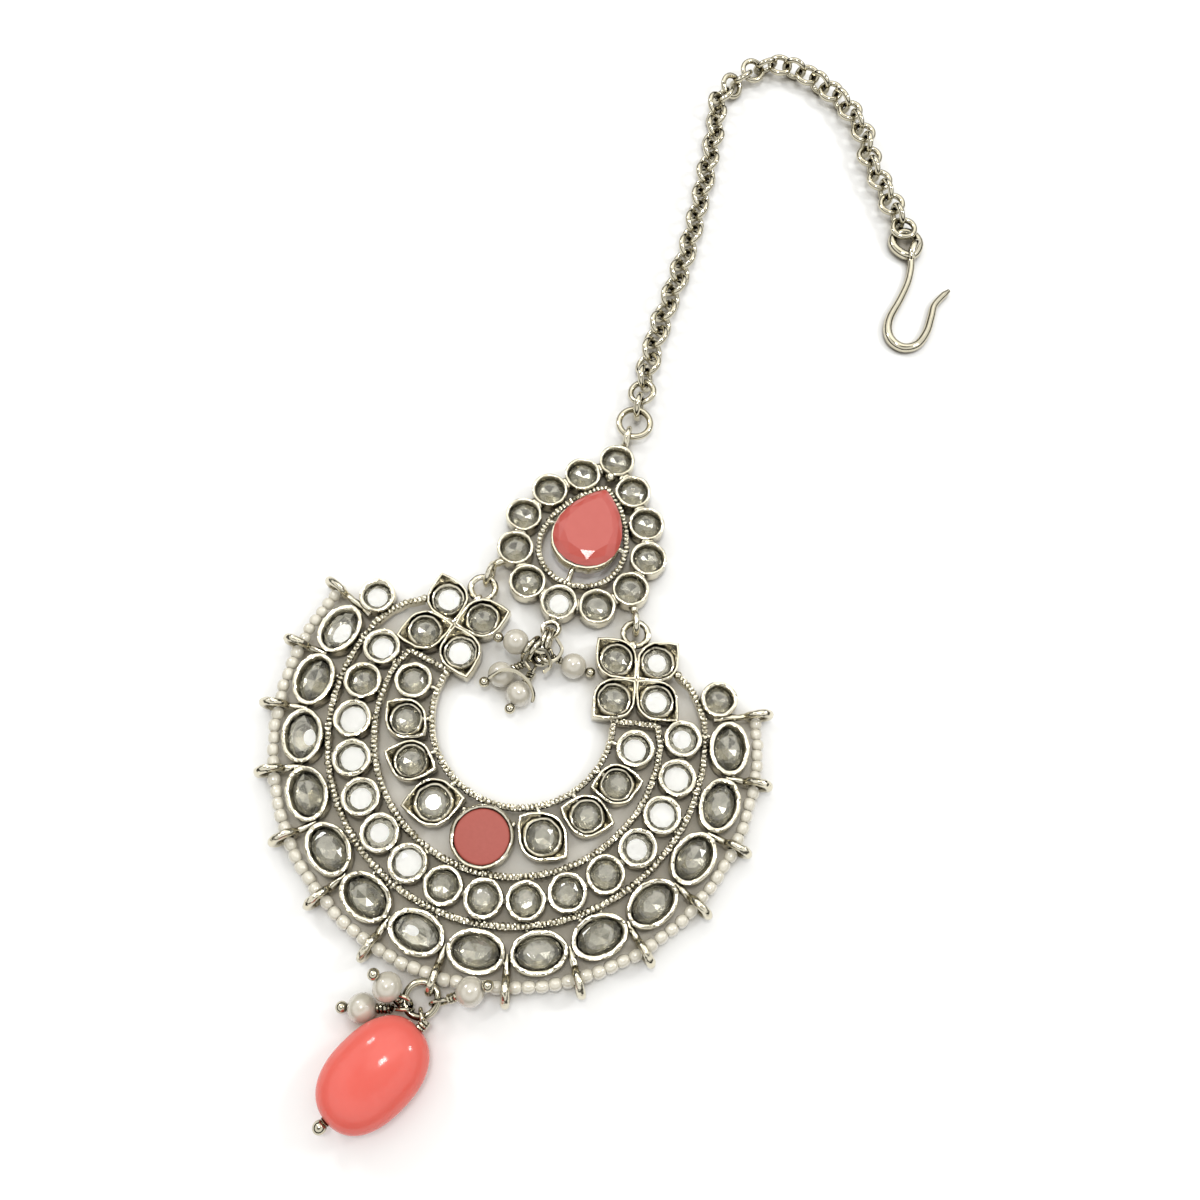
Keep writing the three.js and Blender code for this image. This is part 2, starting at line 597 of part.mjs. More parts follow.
// A headpin: ball end, a straight wire through the bead, and a loop round the ring that holds it
function pinForms(bead, beadHalf, pin, hold) {
  const toRing = hold.point.clone().sub(bead).normalize();
  const headAt = bead.clone().addScaledVector(toRing, -(beadHalf + pin.ball / 2 - pin.bite));
  const loopAtPoint = hold.point.clone().addScaledVector(toRing, -PIN.offset);
  const across = new THREE.Vector3().crossVectors(hold.tangent, toRing).normalize();
  return [
    ball(headAt, toRing, even(pin.ball), pin.sides, pin.rows),
    straightWire(headAt, loopAtPoint.clone().addScaledVector(toRing, -PIN.loop), pin.wire / 2, WIRE_SIDES),
    wireRing(loopAtPoint, toRing, across, PIN.loop, pin.wire, LOOP_SEGMENTS),
  ];
}

// The drop's pin runs level through the bead, then turns down to its ring
function dropPinForms() {
  const hold = onFlatRing(dropRing, DROP_PIN.hold);
  const radius = DROP_PIN.wire / 2;
  const headAt = dropAt.clone().addScaledVector(dropAxis, -(DROP.length / 2 + DROP_PIN.ball / 2 + PIN.clear));
  const bend = dropAt.clone().addScaledVector(dropAxis, DROP.length / 2 + DROP_PIN.bend);
  const toRing = hold.point.clone().sub(bend).normalize();
  const loopAtPoint = hold.point.clone().addScaledVector(toRing, -PIN.offset);
  const across = new THREE.Vector3().crossVectors(hold.tangent, toRing).normalize();
  const loopEnd = loopAtPoint.clone().addScaledVector(toRing, -PIN.loop * DROP_PIN.loopShare);
  return [
    ball(headAt, dropAxis, even(DROP_PIN.ball), DROP_PIN.sides, DROP_PIN.rows),
    straightWire(headAt, bend.clone().addScaledVector(dropAxis, radius), radius, WIRE_SIDES),
    straightWire(bend, loopEnd, radius, WIRE_SIDES),
    wireRing(loopAtPoint, toRing, across, PIN.loop, DROP_PIN.wire, LOOP_SEGMENTS),
  ];
}

// The point and direction of a ring's wire at an angle round it, flat or standing along +Y
function onFlatRing(ring, angle) {
  const [cos, sin] = [Math.cos(angle * DEG), Math.sin(angle * DEG)];
  const point = spot(ring.x + ring.ring * cos, ring.y + ring.ring * sin, ring.z);
  return { point, tangent: spot(-sin, cos, 0) };
}

function onStandingRing(ring, angle) {
  const [cos, sin] = [Math.cos(angle * DEG), Math.sin(angle * DEG)];
  const point = spot(ring.x, ring.y + ring.ring * cos, ring.z + ring.ring * sin);
  return { point, tangent: spot(0, -sin, cos) };
}

const group = new THREE.Group();
group.name = "maang_tikka";

function put(name, geometry, colour, metalness, roughness) {
  const material = new THREE.MeshStandardMaterial({ color: colour, metalness, roughness, flatShading: true });
  const part = new THREE.Mesh(geometry, material);
  part.name = name;
  group.add(part);
}

function putForm(name, form, ...look) {
  const mesh = form.getMesh();
  const geometry = new THREE.BufferGeometry();
  geometry.setAttribute("position", new THREE.BufferAttribute(new Float32Array(mesh.vertProperties), 3));
  geometry.setIndex(new THREE.BufferAttribute(new Uint32Array(mesh.triVerts), 1));
  geometry.computeVertexNormals();
  put(name, geometry, ...look);
}

function putPearls(cluster, pearls, ring, onRing) {
  pearls.forEach((pearl, index) => {
    const centre = spot(...beside(ring, [pearl.right, pearl.up]), pearl.z);
    const hold = onRing(ring, pearl.hold);
    const axis = hold.point.clone().sub(centre);
    const bead = ball(centre, axis, even(PEARL.size), PEARL.sides, PEARL.rows, true);
    putForm(`${cluster}_pearl_${index + 1}`, bead, ...NACRE);
    putForm(`${cluster}_pin_${index + 1}`, join(pinForms(centre, PEARL.size / 2, PIN, hold)), ...SILVER);
  });
}

const SILVER = ["#c9c3ae", 1.0, 0.25];
const CLEAR = ["#d9dad8", 0.0, 0.1];
const CORAL = ["#dc746d", 0.0, 0.25];
const NACRE = ["#d9d2c8", 0.0, 0.3];

// Each piece's place, from the one that carries it
const coralAt = { x: 0, y: -(MIDDLE_ROPE.radius - CORAL_DISC.cup / 2 - CORAL_DISC.gap) };
const tipRing = above(rowPlace(FLOWER, 1), TIP_RING);
const teardrop = { x: TEARDROP.x, y: tipRing.y + TEARDROP.up };
const bail = above(teardrop, BAIL);
const lowerEyelet = above(teardrop, LOWER_EYELET);
const leftEyelet = { ...LEFT_EYELET, x: -tipRing.x + LEFT_EYELET.inside, y: tipRing.y + LEFT_EYELET.up };
const rightEyelet = { ...RIGHT_EYELET, x: tipRing.x - RIGHT_EYELET.inside, y: tipRing.y + RIGHT_EYELET.up };
const topRing = above(bail, TOP_RING);
const [chainEndX, chainEndY] = beside(topRing, CHAIN_ROUTE.at(-1));
const hookEye = above({ x: chainEndX, y: chainEndY }, HOOK_EYE);
const centreRing = above(lowerEyelet, CENTRE_RING);
const dropRing = { ...DROP_RING, y: -(LOOP.radius + DROP_RING.beyond) };
const dropAxis = spot(Math.cos(DROP.turn * DEG), Math.sin(DROP.turn * DEG), 0);
const dropAt = spot(...beside(dropRing, [DROP.right, DROP.up]), DROP.z);

// Each stone's seat is cut clear of whatever stands beside it
const ovalStones = Array.from({ length: OUTER_PER_SIDE * 2 }, (_, index) => (
  ovalStone(ovalPlace(index + 0.5 - OUTER_PER_SIDE))
));
const roundStone = coralDisc();
const crescent = join(crescentForms()).subtract(join([...ovalStones, roundStone]));
putForm("crescent_frame", crescent, ...SILVER);
putForm("teardrop_frame", join(teardropForms()), ...SILVER);
putForm("coral_pear_stone", pearStone(), ...CORAL);
putForm("coral_round_stone", roundStone, ...CORAL);
ovalStones.forEach((stone, index) => putForm(`oval_stone_${index + 1}`, stone, ...CLEAR));
put("seed_bead_string", beadStringGeometry(), ...NACRE);
putForm("top_jump_ring", flatRing(topRing, RING_STEPS), ...SILVER);
put("chain", chainGeometry(), ...SILVER);
putForm("hair_hook", join(hookForms()), ...SILVER);
const centreForm = standingRing(centreRing, centreRing.z, CENTRE_RING.turn, CENTRE_RING.steps);
putForm("centre_jump_ring", centreForm, ...SILVER);
putPearls("centre", CENTRE_PEARLS, centreRing, onStandingRing);
putForm("drop_jump_ring", flatRing(dropRing, RING_STEPS), ...SILVER);
putPearls("drop", DROP_PEARLS, dropRing, onFlatRing);
putForm("coral_drop", ball(dropAt, dropAxis, DROP, DROP.sides, DROP.rows, true), ...CORAL);
putForm("coral_drop_pin", join(dropPinForms()), ...SILVER);

// The origin is under the middle of the whole, on the surface
const bounds = new THREE.Box3().setFromObject(group);
group.position.set(-(bounds.min.x + bounds.max.x) / 2, -(bounds.min.y + bounds.max.y) / 2, -bounds.min.z);

export default group;
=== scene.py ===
# %% [markdown]
# A maang tikka is a forehead ornament: a cast crescent of set stones, a teardrop piece above it,
# a chain and a hook for the hair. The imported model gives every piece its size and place, and this
# lesson gives each one the fine shape and the finish of the real thing.

# %% The frame
import math
import random

import bmesh
import bpy
import numpy as np
from mathutils import Matrix, Vector, noise


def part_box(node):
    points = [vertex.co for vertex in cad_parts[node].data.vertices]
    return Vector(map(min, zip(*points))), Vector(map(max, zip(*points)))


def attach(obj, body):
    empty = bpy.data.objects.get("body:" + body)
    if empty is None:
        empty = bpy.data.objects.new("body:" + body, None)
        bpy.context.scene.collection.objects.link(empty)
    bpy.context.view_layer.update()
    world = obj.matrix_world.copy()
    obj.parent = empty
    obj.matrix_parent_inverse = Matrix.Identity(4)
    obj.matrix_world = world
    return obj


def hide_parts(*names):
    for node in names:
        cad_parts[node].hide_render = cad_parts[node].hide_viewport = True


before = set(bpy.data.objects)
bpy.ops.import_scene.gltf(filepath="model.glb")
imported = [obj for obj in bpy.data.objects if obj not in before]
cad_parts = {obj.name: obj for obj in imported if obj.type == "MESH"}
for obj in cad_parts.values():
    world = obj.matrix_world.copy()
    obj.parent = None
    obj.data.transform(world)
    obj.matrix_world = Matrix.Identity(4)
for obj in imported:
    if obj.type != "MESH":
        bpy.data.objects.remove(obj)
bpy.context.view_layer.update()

print("pieces in the frame:", len(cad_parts))

# %% [markdown]
# The crescent is drawn from the centre of its rows, as a jeweller would lay it out, in millimetres.
# The coral disc tells where that centre is in the frame, because it sits on the crescent's axis
# at a known distance below the centre.

# %% Plan centre
MM = 0.001
DISC_BELOW_CENTRE = 16.94
disc_low, disc_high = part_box("coral_round_stone")
PLAN_CENTRE = Vector((
    (disc_low[0] + disc_high[0]) / 2,
    (disc_low[1] + disc_high[1]) / 2 + DISC_BELOW_CENTRE * MM,
    0,
))
print("plan centre:", [round(value / MM, 2) for value in PLAN_CENTRE])


def metres(points):
    """Plan millimetres to frame metres."""
    return np.asarray(points, float) * MM + np.array(PLAN_CENTRE)


# %% [markdown]
# The camera comes first, since everything is judged through it. It stands above the ornament's
# lower left part, close enough for the crescent to look larger than the chain, as a phone camera does.

# %% Camera
CAMERA_AT = (15.23, -34.65, 153.4)
CAMERA_RIGHT = Vector((0.95607, 0.28835, 0.05279))
CAMERA_UP = Vector((-0.28727, 0.88570, 0.36471))
LENS_MM = 30.0
SENSOR_MM = 36.0

camera_data = bpy.data.cameras.new("camera")
camera_data.lens = LENS_MM
camera_data.sensor_width = SENSOR_MM
camera_data.sensor_fit = "HORIZONTAL"
camera_data.clip_start = 0.01
camera = bpy.data.objects.new("camera", camera_data)
bpy.context.scene.collection.objects.link(camera)
turn = Matrix((CAMERA_RIGHT, CAMERA_UP, CAMERA_RIGHT.cross(CAMERA_UP))).transposed()
camera.matrix_world = Matrix.Translation(Vector(metres(CAMERA_AT))) @ turn.to_4x4()
bpy.context.scene.camera = camera
bpy.context.scene.view_settings.view_transform = "Standard"
print("camera height in mm:", CAMERA_AT[2])

# %% [markdown]
# Shapes here are skins over rows of points: each row is one ring round the form. The same helper
# makes cups, stones, wires and beads, and joins many of them into one mesh.

# %% Skins of rows
SMOOTH_BELOW = math.radians(38)


def skin(rows, wrapped=False, cap_first=True, cap_last=True):
    """Vertices and faces of a skin over rings of equal length."""
    rows = [np.asarray(row, float) for row in rows]
    count = len(rows[0])
    faces = []
    spans = len(rows) if wrapped else len(rows) - 1
    for row in range(spans):
        near, far = row * count, ((row + 1) % len(rows)) * count
        for side in range(count):
            after = (side + 1) % count
            faces.append((near + side, near + after, far + after, far + side))
    if not wrapped and cap_first:
        faces.append(tuple(reversed(range(count))))
    if not wrapped and cap_last:
        faces.append(tuple(range((len(rows) - 1) * count, len(rows) * count)))
    return np.vstack(rows), faces


def joined(forms):
    """Many skins as one list of vertices and faces."""
    points, faces, offset = [], [], 0
    for form_points, form_faces in forms:
        points.append(form_points)
        faces.extend(tuple(index + offset for index in face) for face in form_faces)
        offset += len(form_points)
    return np.vstack(points), faces


noise.seed_set(7)


def worn(points, depth, grain):
    """Points moved a little by smooth noise, as on a casting finished by hand."""
    return points + np.array([noise.noise_vector(Vector(point) / grain) for point in points]) * depth


WEAR_GRAIN = 1.1


def piece(name, forms, material, smooth=SMOOTH_BELOW, replaces=(), wear=0.0):
    """One object made of the forms, riding on the ornament."""
    points, faces = joined(forms)
    if wear:
        points = worn(points, wear, WEAR_GRAIN)
    mesh = bpy.data.meshes.new(name)
    mesh.from_pydata([tuple(point) for point in metres(points)], [], faces)
    build = bmesh.new()
    build.from_mesh(mesh)
    bmesh.ops.recalc_face_normals(build, faces=build.faces)
    build.to_mesh(mesh)
    build.free()
    if smooth:
        mesh.shade_smooth()
        mesh.set_sharp_from_angle(angle=smooth)
    mesh.materials.append(material)
    made = bpy.data.objects.new(name, mesh)
    bpy.context.scene.collection.objects.link(made)
    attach(made, "root")
    if replaces:
        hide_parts(*replaces)
    print(name, "faces:", len(faces))
    return made


# %% [markdown]
# A cup's plan is a circle, an oval or a leaf. A leaf is a circle drawn out to a corner at both ends.
# Each plan can be drawn smaller by an inset, so one wall profile serves all three kinds of cup.

# %% Plans
ROUND_POINTS = 32
LEAF_ARC_POINTS = 13


def oval_plan(length, width, count=ROUND_POINTS):
    def plan(inset):
        angles = np.arange(count) * 2 * math.pi / count
        return np.stack([(length / 2 - inset) * np.cos(angles), (width / 2 - inset) * np.sin(angles)], 1)
    return plan


def leaf_plan(length, width):
    def plan(inset):
        radius = width / 2 - inset
        tip = length / 2 * radius / (width / 2)
        start = math.acos(width / length)
        angles = np.linspace(start, math.pi - start, LEAF_ARC_POINTS)
        side = np.stack([radius * np.cos(angles), radius * np.sin(angles)], 1)
        near, far = ((side[0] + [tip, 0]) * 0.52), ((side[-1] + [-tip, 0]) * 0.52)
        side = np.vstack([[near], side, [far]])
        return np.vstack([[[tip, 0]], side, [[-tip, 0]], -side])
    return plan


def placed(plan, z, at, share=1.0):
    """Plan points turned and moved to their place, at a height."""
    turn = math.radians(at.get("turn", 0))
    plan = plan * share
    x = at["x"] + plan[:, 0] * math.cos(turn) - plan[:, 1] * math.sin(turn)
    y = at["y"] + plan[:, 0] * math.sin(turn) + plan[:, 1] * math.cos(turn)
    return np.stack([x, y, np.full(len(plan), z)], 1)


# %% [markdown]
# The metal is a zinc casting, tumbled and plated with a bright, slightly warm silver finish. Plated
# castings are mirror-like but never flat: the skin has soft dimples and the polish varies a little,
# which breaks each reflection into small bright and dark patches.

# %% Colours and nodes
def linear(hex_colour):
    """An sRGB hex value as linear red, green, blue and alpha."""
    parts = [int(hex_colour[index:index + 2], 16) / 255 for index in (1, 3, 5)]
    curved = [part / 12.92 if part <= 0.04045 else ((part + 0.055) / 1.055) ** 2.4 for part in parts]
    return (*curved, 1.0)


def add(tree, kind, settings=(), links=()):
    """A node with its settings and its incoming links."""
    node = tree.nodes.new(kind)
    for name, value in dict(settings).items():
        if name in node.inputs:
            node.inputs[name].default_value = value
        else:
            setattr(node, name, value)
    for name, socket in dict(links).items():
        tree.links.new(socket, node.inputs[name])
    return node


def material(name, shader_settings):
    """A new material, its node tree and its shader."""
    made = bpy.data.materials.new(name)
    made.use_nodes = True
    tree = made.node_tree
    shader = tree.nodes["Principled BSDF"]
    for socket, value in shader_settings.items():
        shader.inputs[socket].default_value = value
    return made, tree, shader


def per_mm(size):
    """The texture scale whose grain has that size in millimetres."""
    return 1 / (size * MM)


# %% [markdown]
# Low corners of a plated casting are darkened here. An ambient occlusion node measures how closed in
# each place is, and the tone goes from the bright plating to a dark brown there: mostly painted shade,
# in part the dull metal that neither the plating nor the polishing mop reaches.

# %% Plated metal
PATCH_MM = 4.0
HOLLOW_MM = 1.6
# Dark tone of the painted shade in hollows, in part dull unpolished metal.
HOLLOW_SHADE_AND_DULL_METAL = "#3a3424"


def plated(name, tones, dimple_mm, dimple_depth_mm, rough_low, rough_high):
    made, tree, shader = material(name, {"Metallic": 1.0})
    place = add(tree, "ShaderNodeTexCoord").outputs["Object"]
    patches = add(
        tree, "ShaderNodeTexNoise",
        {"Scale": per_mm(PATCH_MM), "Detail": 3.0},
        {"Vector": place},
    )
    tone = add(
        tree, "ShaderNodeMixRGB",
        {"Color1": linear(tones[0]), "Color2": linear(tones[1])},
        {"Fac": patches.outputs["Fac"]},
    )
    hollow = add(tree, "ShaderNodeAmbientOcclusion", {"Distance": HOLLOW_MM * MM, "samples": 6})
    depth = add(
        tree, "ShaderNodeMapRange",
        {"From Min": 0.3, "From Max": 0.82},
        {"Value": hollow.outputs["AO"]},
    )
    # Painted shade: the base colour darkens where the place is closed in.
    shaded_skin_tone = add(
        tree, "ShaderNodeMixRGB",
        {"Color1": linear(HOLLOW_SHADE_AND_DULL_METAL)},
        {"Fac": depth.outputs["Result"], "Color2": tone.outputs["Color"]},
    )
    tree.links.new(shaded_skin_tone.outputs["Color"], shader.inputs["Base Color"])
    polish = add(
        tree, "ShaderNodeMapRange",
        {"From Min": 0.35, "From Max": 0.65, "To Min": rough_low, "To Max": rough_high},
        {"Value": patches.outputs["Fac"]},
    )
    tree.links.new(polish.outputs["Result"], shader.inputs["Roughness"])
    dimples = add(
        tree, "ShaderNodeTexNoise",
        {"Scale": per_mm(dimple_mm), "Detail": 2.0},
        {"Vector": place},
    )
    bump = add(
        tree, "ShaderNodeBump",
        {"Strength": 1.0, "Distance": dimple_depth_mm * MM},
        {"Height": dimples.outputs["Fac"]},
    )
    tree.links.new(bump.outputs["Normal"], shader.inputs["Normal"])
    return made


plated_casting = plated("plated_zinc_casting", ("#cec7b0", "#ece6d3"), 0.8, 0.12, 0.12, 0.24)
plated_wire = plated("plated_drawn_wire", ("#bab39c", "#dad4c0"), 1.6, 0.03, 0.06, 0.15)

# %% [markdown]
# The clear stones are moulded glass with a foil back, as most costume stones are. Light enters the
# polished top, meets the foiled facets below and comes back, so each stone is grey with one or two
# white flashes. Top and foil are two materials on one closed stone.

# %% Foiled glass
stone_glass, _, _ = material("foiled_glass_top", {
    "Base Color": linear("#f4f4f0"),
    "Roughness": 0.03,
    "IOR": 1.52,
    "Transmission Weight": 1.0,
})
stone_foil, foil_tree, foil_shader = material("foiled_glass_back", {"Metallic": 0.9, "Roughness": 0.16})
foil_place = add(foil_tree, "ShaderNodeTexCoord").outputs["Object"]
foil_patches = add(
    foil_tree, "ShaderNodeTexNoise",
    {"Scale": per_mm(1.2), "Detail": 2.0},
    {"Vector": foil_place},
)
foil_tone = add(
    foil_tree, "ShaderNodeMixRGB",
    {"Color1": linear("#a29f92"), "Color2": linear("#d2cfc3")},
    {"Fac": foil_patches.outputs["Fac"]},
)
foil_tree.links.new(foil_tone.outputs["Color"], foil_shader.inputs["Base Color"])
# Painted highlight: a white back that glows a little, for the white flash of some stones.
stone_painted_flash, _, _ = material("white_back_painted_flash", {
    "Base Color": linear("#fdfdfb"),
    "Roughness": 0.8,
    "Emission Color": linear("#ffffff"),
    "Emission Strength": 0.35,
})

# %% [markdown]
# The coral pieces are cast resin. The pear is cut and polished, the round disc is ground flat and
# left matt, and the drop is a polished bead that lets a little light in. The pearls are coated beads
# with a satin skin, and the seed beads are small milky glass.

# %% Resin, pearl and bead
def resin(name, deep, light, mottle_mm, settings, bump_mm=0.0):
    made, tree, shader = material(name, settings)
    place = add(tree, "ShaderNodeTexCoord").outputs["Object"]
    mottle = add(
        tree, "ShaderNodeTexNoise",
        {"Scale": per_mm(mottle_mm), "Detail": 4.0},
        {"Vector": place},
    )
    tone = add(
        tree, "ShaderNodeMixRGB",
        {"Color1": linear(deep), "Color2": linear(light)},
        {"Fac": mottle.outputs["Fac"]},
    )
    tree.links.new(tone.outputs["Color"], shader.inputs["Base Color"])
    if bump_mm:
        bump = add(
            tree, "ShaderNodeBump",
            {"Strength": 1.0, "Distance": bump_mm * MM},
            {"Height": mottle.outputs["Fac"]},
        )
        tree.links.new(bump.outputs["Normal"], shader.inputs["Normal"])
    return made


def glowing(radius_mm, weight, reach=(1.0, 1.0, 0.9)):
    """Settings that let light travel that far inside."""
    return {
        "Subsurface Weight": weight,
        "Subsurface Radius": reach,
        "Subsurface Scale": radius_mm * MM,
    }


coral_cut = resin("coral_resin_cut", "#b9564e", "#c05e55", 2.0, {"Roughness": 0.1, "IOR": 1.5})
coral_matt = resin(
    "coral_resin_ground", "#9e463a", "#a94f43", 0.6,
    {"Roughness": 0.5, "IOR": 1.5},
    0.01,
)
coral_polished = resin(
    "coral_resin_polished", "#e0695e", "#e57166", 4.0,
    {"Roughness": 0.1, "IOR": 1.5, "Specular IOR Level": 0.3, **glowing(2.5, 0.5, (1.0, 0.5, 0.45))},
)
pearl_coat = resin(
    "pearl_coating", "#b5af9f", "#d3cdbe", 1.2,
    {"Roughness": 0.25, "IOR": 1.6, "Coat Weight": 1.0, "Coat IOR": 1.8, "Coat Roughness": 0.1},
    0.015,
)
seed_glass = resin(
    "milky_seed_glass", "#c9c3b2", "#e0dbcb", 1.0,
    {
        "Roughness": 0.2, "IOR": 1.55, "Coat Weight": 1.0, "Coat IOR": 1.8, "Coat Roughness": 0.06,
        **glowing(0.5, 0.2),
    },
)

# %% [markdown]
# Every cup has the same wall: a flat back, an upright outside, a rounded rim that catches the light,
# and an inside that slopes down to the stone. The wall is a row of insets from the plan's edge and
# heights, so one table describes all of them.

# %% Cup walls
BACK_Z = 0.9
RIM_Z = 3.4
ROPE_Z = 2.9
STONE_Z = 2.25
CUP_FLOOR_Z = BACK_Z + 0.35


def cup_wall(plan, at, rim, floor_inset):
    """The casting of one cup, open at the top, with a closed floor."""
    profile = [
        (0.14, BACK_Z), (0.0, BACK_Z + 0.16),
        (0.0, RIM_Z - 0.28), (0.04, RIM_Z - 0.1), (0.12, RIM_Z - 0.01), (rim * 0.5, RIM_Z + 0.02),
        (rim - 0.1, RIM_Z - 0.03), (rim, RIM_Z - 0.16), (rim + 0.03, RIM_Z - 0.6),
        (floor_inset, STONE_Z - 0.1), (floor_inset + 0.05, CUP_FLOOR_Z),
    ]
    return skin([placed(plan(inset), z, at) for inset, z in profile])


# %% [markdown]
# A stone is cut in rings: a flat table on top, eight main facets and their halves down to the girdle,
# and a pointed back. Where the real stones show a white spot, those stones get a flat white back of the
# spot's size and place, which glows a little: a painted white flash.

# %% Cut stones
CROWN_STEPS = 8
GLASS, FOIL, PAINTED_FLASH = 0, 1, 2


def cut_stone(plan, at, girdle_z, crown, pavilion, table=0.52, tilt=(0.0, 0.0), seen=None):
    """The points of one closed cut stone, and its faces with the finish of each."""
    def ring(share, shift, count, z, middle=(0.0, 0.0)):
        angles = (np.arange(count) + shift) * 2 * math.pi / count
        edge = plan(0)
        edge_angles = np.unwrap(np.arctan2(edge[:, 1], edge[:, 0]))
        reach = np.interp(angles, edge_angles, np.hypot(edge[:, 0], edge[:, 1]), period=2 * math.pi)
        flat = np.stack([reach * np.cos(angles), reach * np.sin(angles)], 1) * share + middle
        points = placed(flat, z, at)
        points[:, 2] += flat[:, 0] * math.tan(tilt[0]) + flat[:, 1] * math.tan(tilt[1])
        return points
    count = CROWN_STEPS * 2
    top = ring(table, 0, CROWN_STEPS, girdle_z + crown)
    middle = ring((1 + table) / 2 + 0.04, 0.5, CROWN_STEPS, girdle_z + crown * 0.56)
    girdle = ring(1.0, 0, count, girdle_z)
    lower = ring(0.99, 0, count, girdle_z - 0.08)
    lower[1::2] = (lower[::2] + np.roll(lower[::2], -1, 0)) / 2
    faces = [(tuple(range(CROWN_STEPS)), GLASS)]
    for step in range(CROWN_STEPS):
        after = (step + 1) % CROWN_STEPS
        before = (step - 1) % CROWN_STEPS
        mid, mid_before = CROWN_STEPS + step, CROWN_STEPS + before
        edge = [count + (2 * step + extra) % count for extra in range(3)]
        faces += [((step, mid, after), GLASS), ((mid_before, edge[0], mid, step), GLASS)]
        faces += [((mid, edge[0], edge[1]), GLASS), ((mid, edge[1], edge[2]), GLASS)]
    # Such a stone gets a flat white back that glows a little: a painted flash.
    if seen:
        share, shift = seen
        below = ring(share, 0, count, girdle_z - pavilion * 0.55, shift)
        faces.append((tuple(3 * count + step for step in range(count)), PAINTED_FLASH))
    else:
        below = ring(0.0, 0, 1, girdle_z - pavilion)
    for step in range(count):
        after = (step + 1) % count
        corner, next_corner = 2 * count + step, 2 * count + after
        faces.append(((count + step, count + after, next_corner, corner), FOIL))
        if seen:
            faces.append(((corner, next_corner, 3 * count + after, 3 * count + step), FOIL))
        else:
            faces.append(((corner, next_corner, 3 * count), FOIL))
    return np.vstack([top, middle, girdle, lower, below]), faces


def stones_piece(name, stones, replaces=()):
    """Many cut stones as one object with a glass top and a foil back."""
    forms = [(points, [face for face, _ in faces]) for points, faces in stones]
    made = piece(name, forms, stone_glass, smooth=None, replaces=replaces)
    made.data.materials.append(stone_foil)
    made.data.materials.append(stone_painted_flash)
    finishes = [finish for _, faces in stones for _, finish in faces]
    made.data.polygons.foreach_set("material_index", finishes)
    return made


# %% [markdown]
# Roped wire edges the rows. On the casting it is a thin wall with a row of small beads along its top,
# each a little wider than it is long. One bead is shaped once and repeated along the path.

# %% Roped wire
chance = random.Random(5)
ROPE_PITCH = 0.74
ROPE_BEAD_LONG = 0.86
ROPE_BEAD_WIDE = 1.2
ROPE_WALL = 0.75
ROPE_BEAD_SIDES = 8
ROPE_BEAD_ROWS = 5


def even_points(path, step, closed=False):
    """Points at an even step along a path, with the direction of the path at each."""
    path = np.asarray(path, float)
    if closed:
        path = np.vstack([path, path[:1]])
    lengths = np.concatenate([[0], np.cumsum(np.linalg.norm(np.diff(path, axis=0), axis=1))])
    count = max(2, round(lengths[-1] / step))
    marks = np.linspace(0, lengths[-1], count + 1)
    if closed:
        marks = marks[:-1]

    def at(places):
        return np.stack([np.interp(places, lengths, path[:, axis]) for axis in range(path.shape[1])], 1)

    along = at(marks + 0.01) - at(marks - 0.01)
    return at(marks), along / np.linalg.norm(along, axis=1)[:, None]


def bead(centre, along, long, wide, high, sides=ROPE_BEAD_SIDES, rows=ROPE_BEAD_ROWS):
    """An egg-shaped bead about the direction given."""
    along = np.asarray(along, float) / np.linalg.norm(along)
    side = np.cross([0, 0, 1], along)
    side /= np.linalg.norm(side)
    rise = np.cross(along, side)
    rings = []
    for row in range(rows + 1):
        angle = (row + 0.2) / (rows + 0.4) * math.pi
        turns = np.arange(sides) * 2 * math.pi / sides
        rings.append(
            np.asarray(centre) - along * long / 2 * math.cos(angle)
            + np.outer(np.cos(turns), side) * wide / 2 * math.sin(angle)
            + np.outer(np.sin(turns), rise) * high / 2 * math.sin(angle)
        )
    return skin(rings)


def bar(path, width, low, high, closed=False):
    """A wall of even width along plan points."""
    path = np.asarray(path, float)
    before = np.roll(path, 1, 0) if closed else np.vstack([path[:1], path[:-1]])
    after = np.roll(path, -1, 0) if closed else np.vstack([path[1:], path[-1:]])
    along = after - before
    side = np.stack([along[:, 1], -along[:, 0]], 1) / np.linalg.norm(along, axis=1)[:, None]
    rows = []
    for point, out in zip(path, side):
        rows.append([
            [*(point - out * width / 2), low], [*(point + out * width / 2), low],
            [*(point + out * width / 2), high], [*(point - out * width / 2), high],
        ])
    return skin(rows, wrapped=closed)


def roped_wire(path, closed=False, top=ROPE_Z):
    """The wall and the beads of one roped wire."""
    points, along = even_points(path, ROPE_PITCH, closed)
    forms = [bar(points, ROPE_WALL, BACK_Z, top - 0.3, closed)]
    for point, direction in zip(points, along):
        size = chance.uniform(0.88, 1.06)
        centre = [*(point + chance.uniform(-0.05, 0.05)), top - 0.42 + chance.uniform(-0.06, 0.06)]
        forms.append(bead(centre, [*direction, 0], ROPE_BEAD_LONG * size, ROPE_BEAD_WIDE * size, 0.95))
    return forms


# %% [markdown]
# Wires are round rods swept along a path: the loops, rings, links, pins and the hook. The section is
# carried along without twisting, and a closed path joins its end to its start.

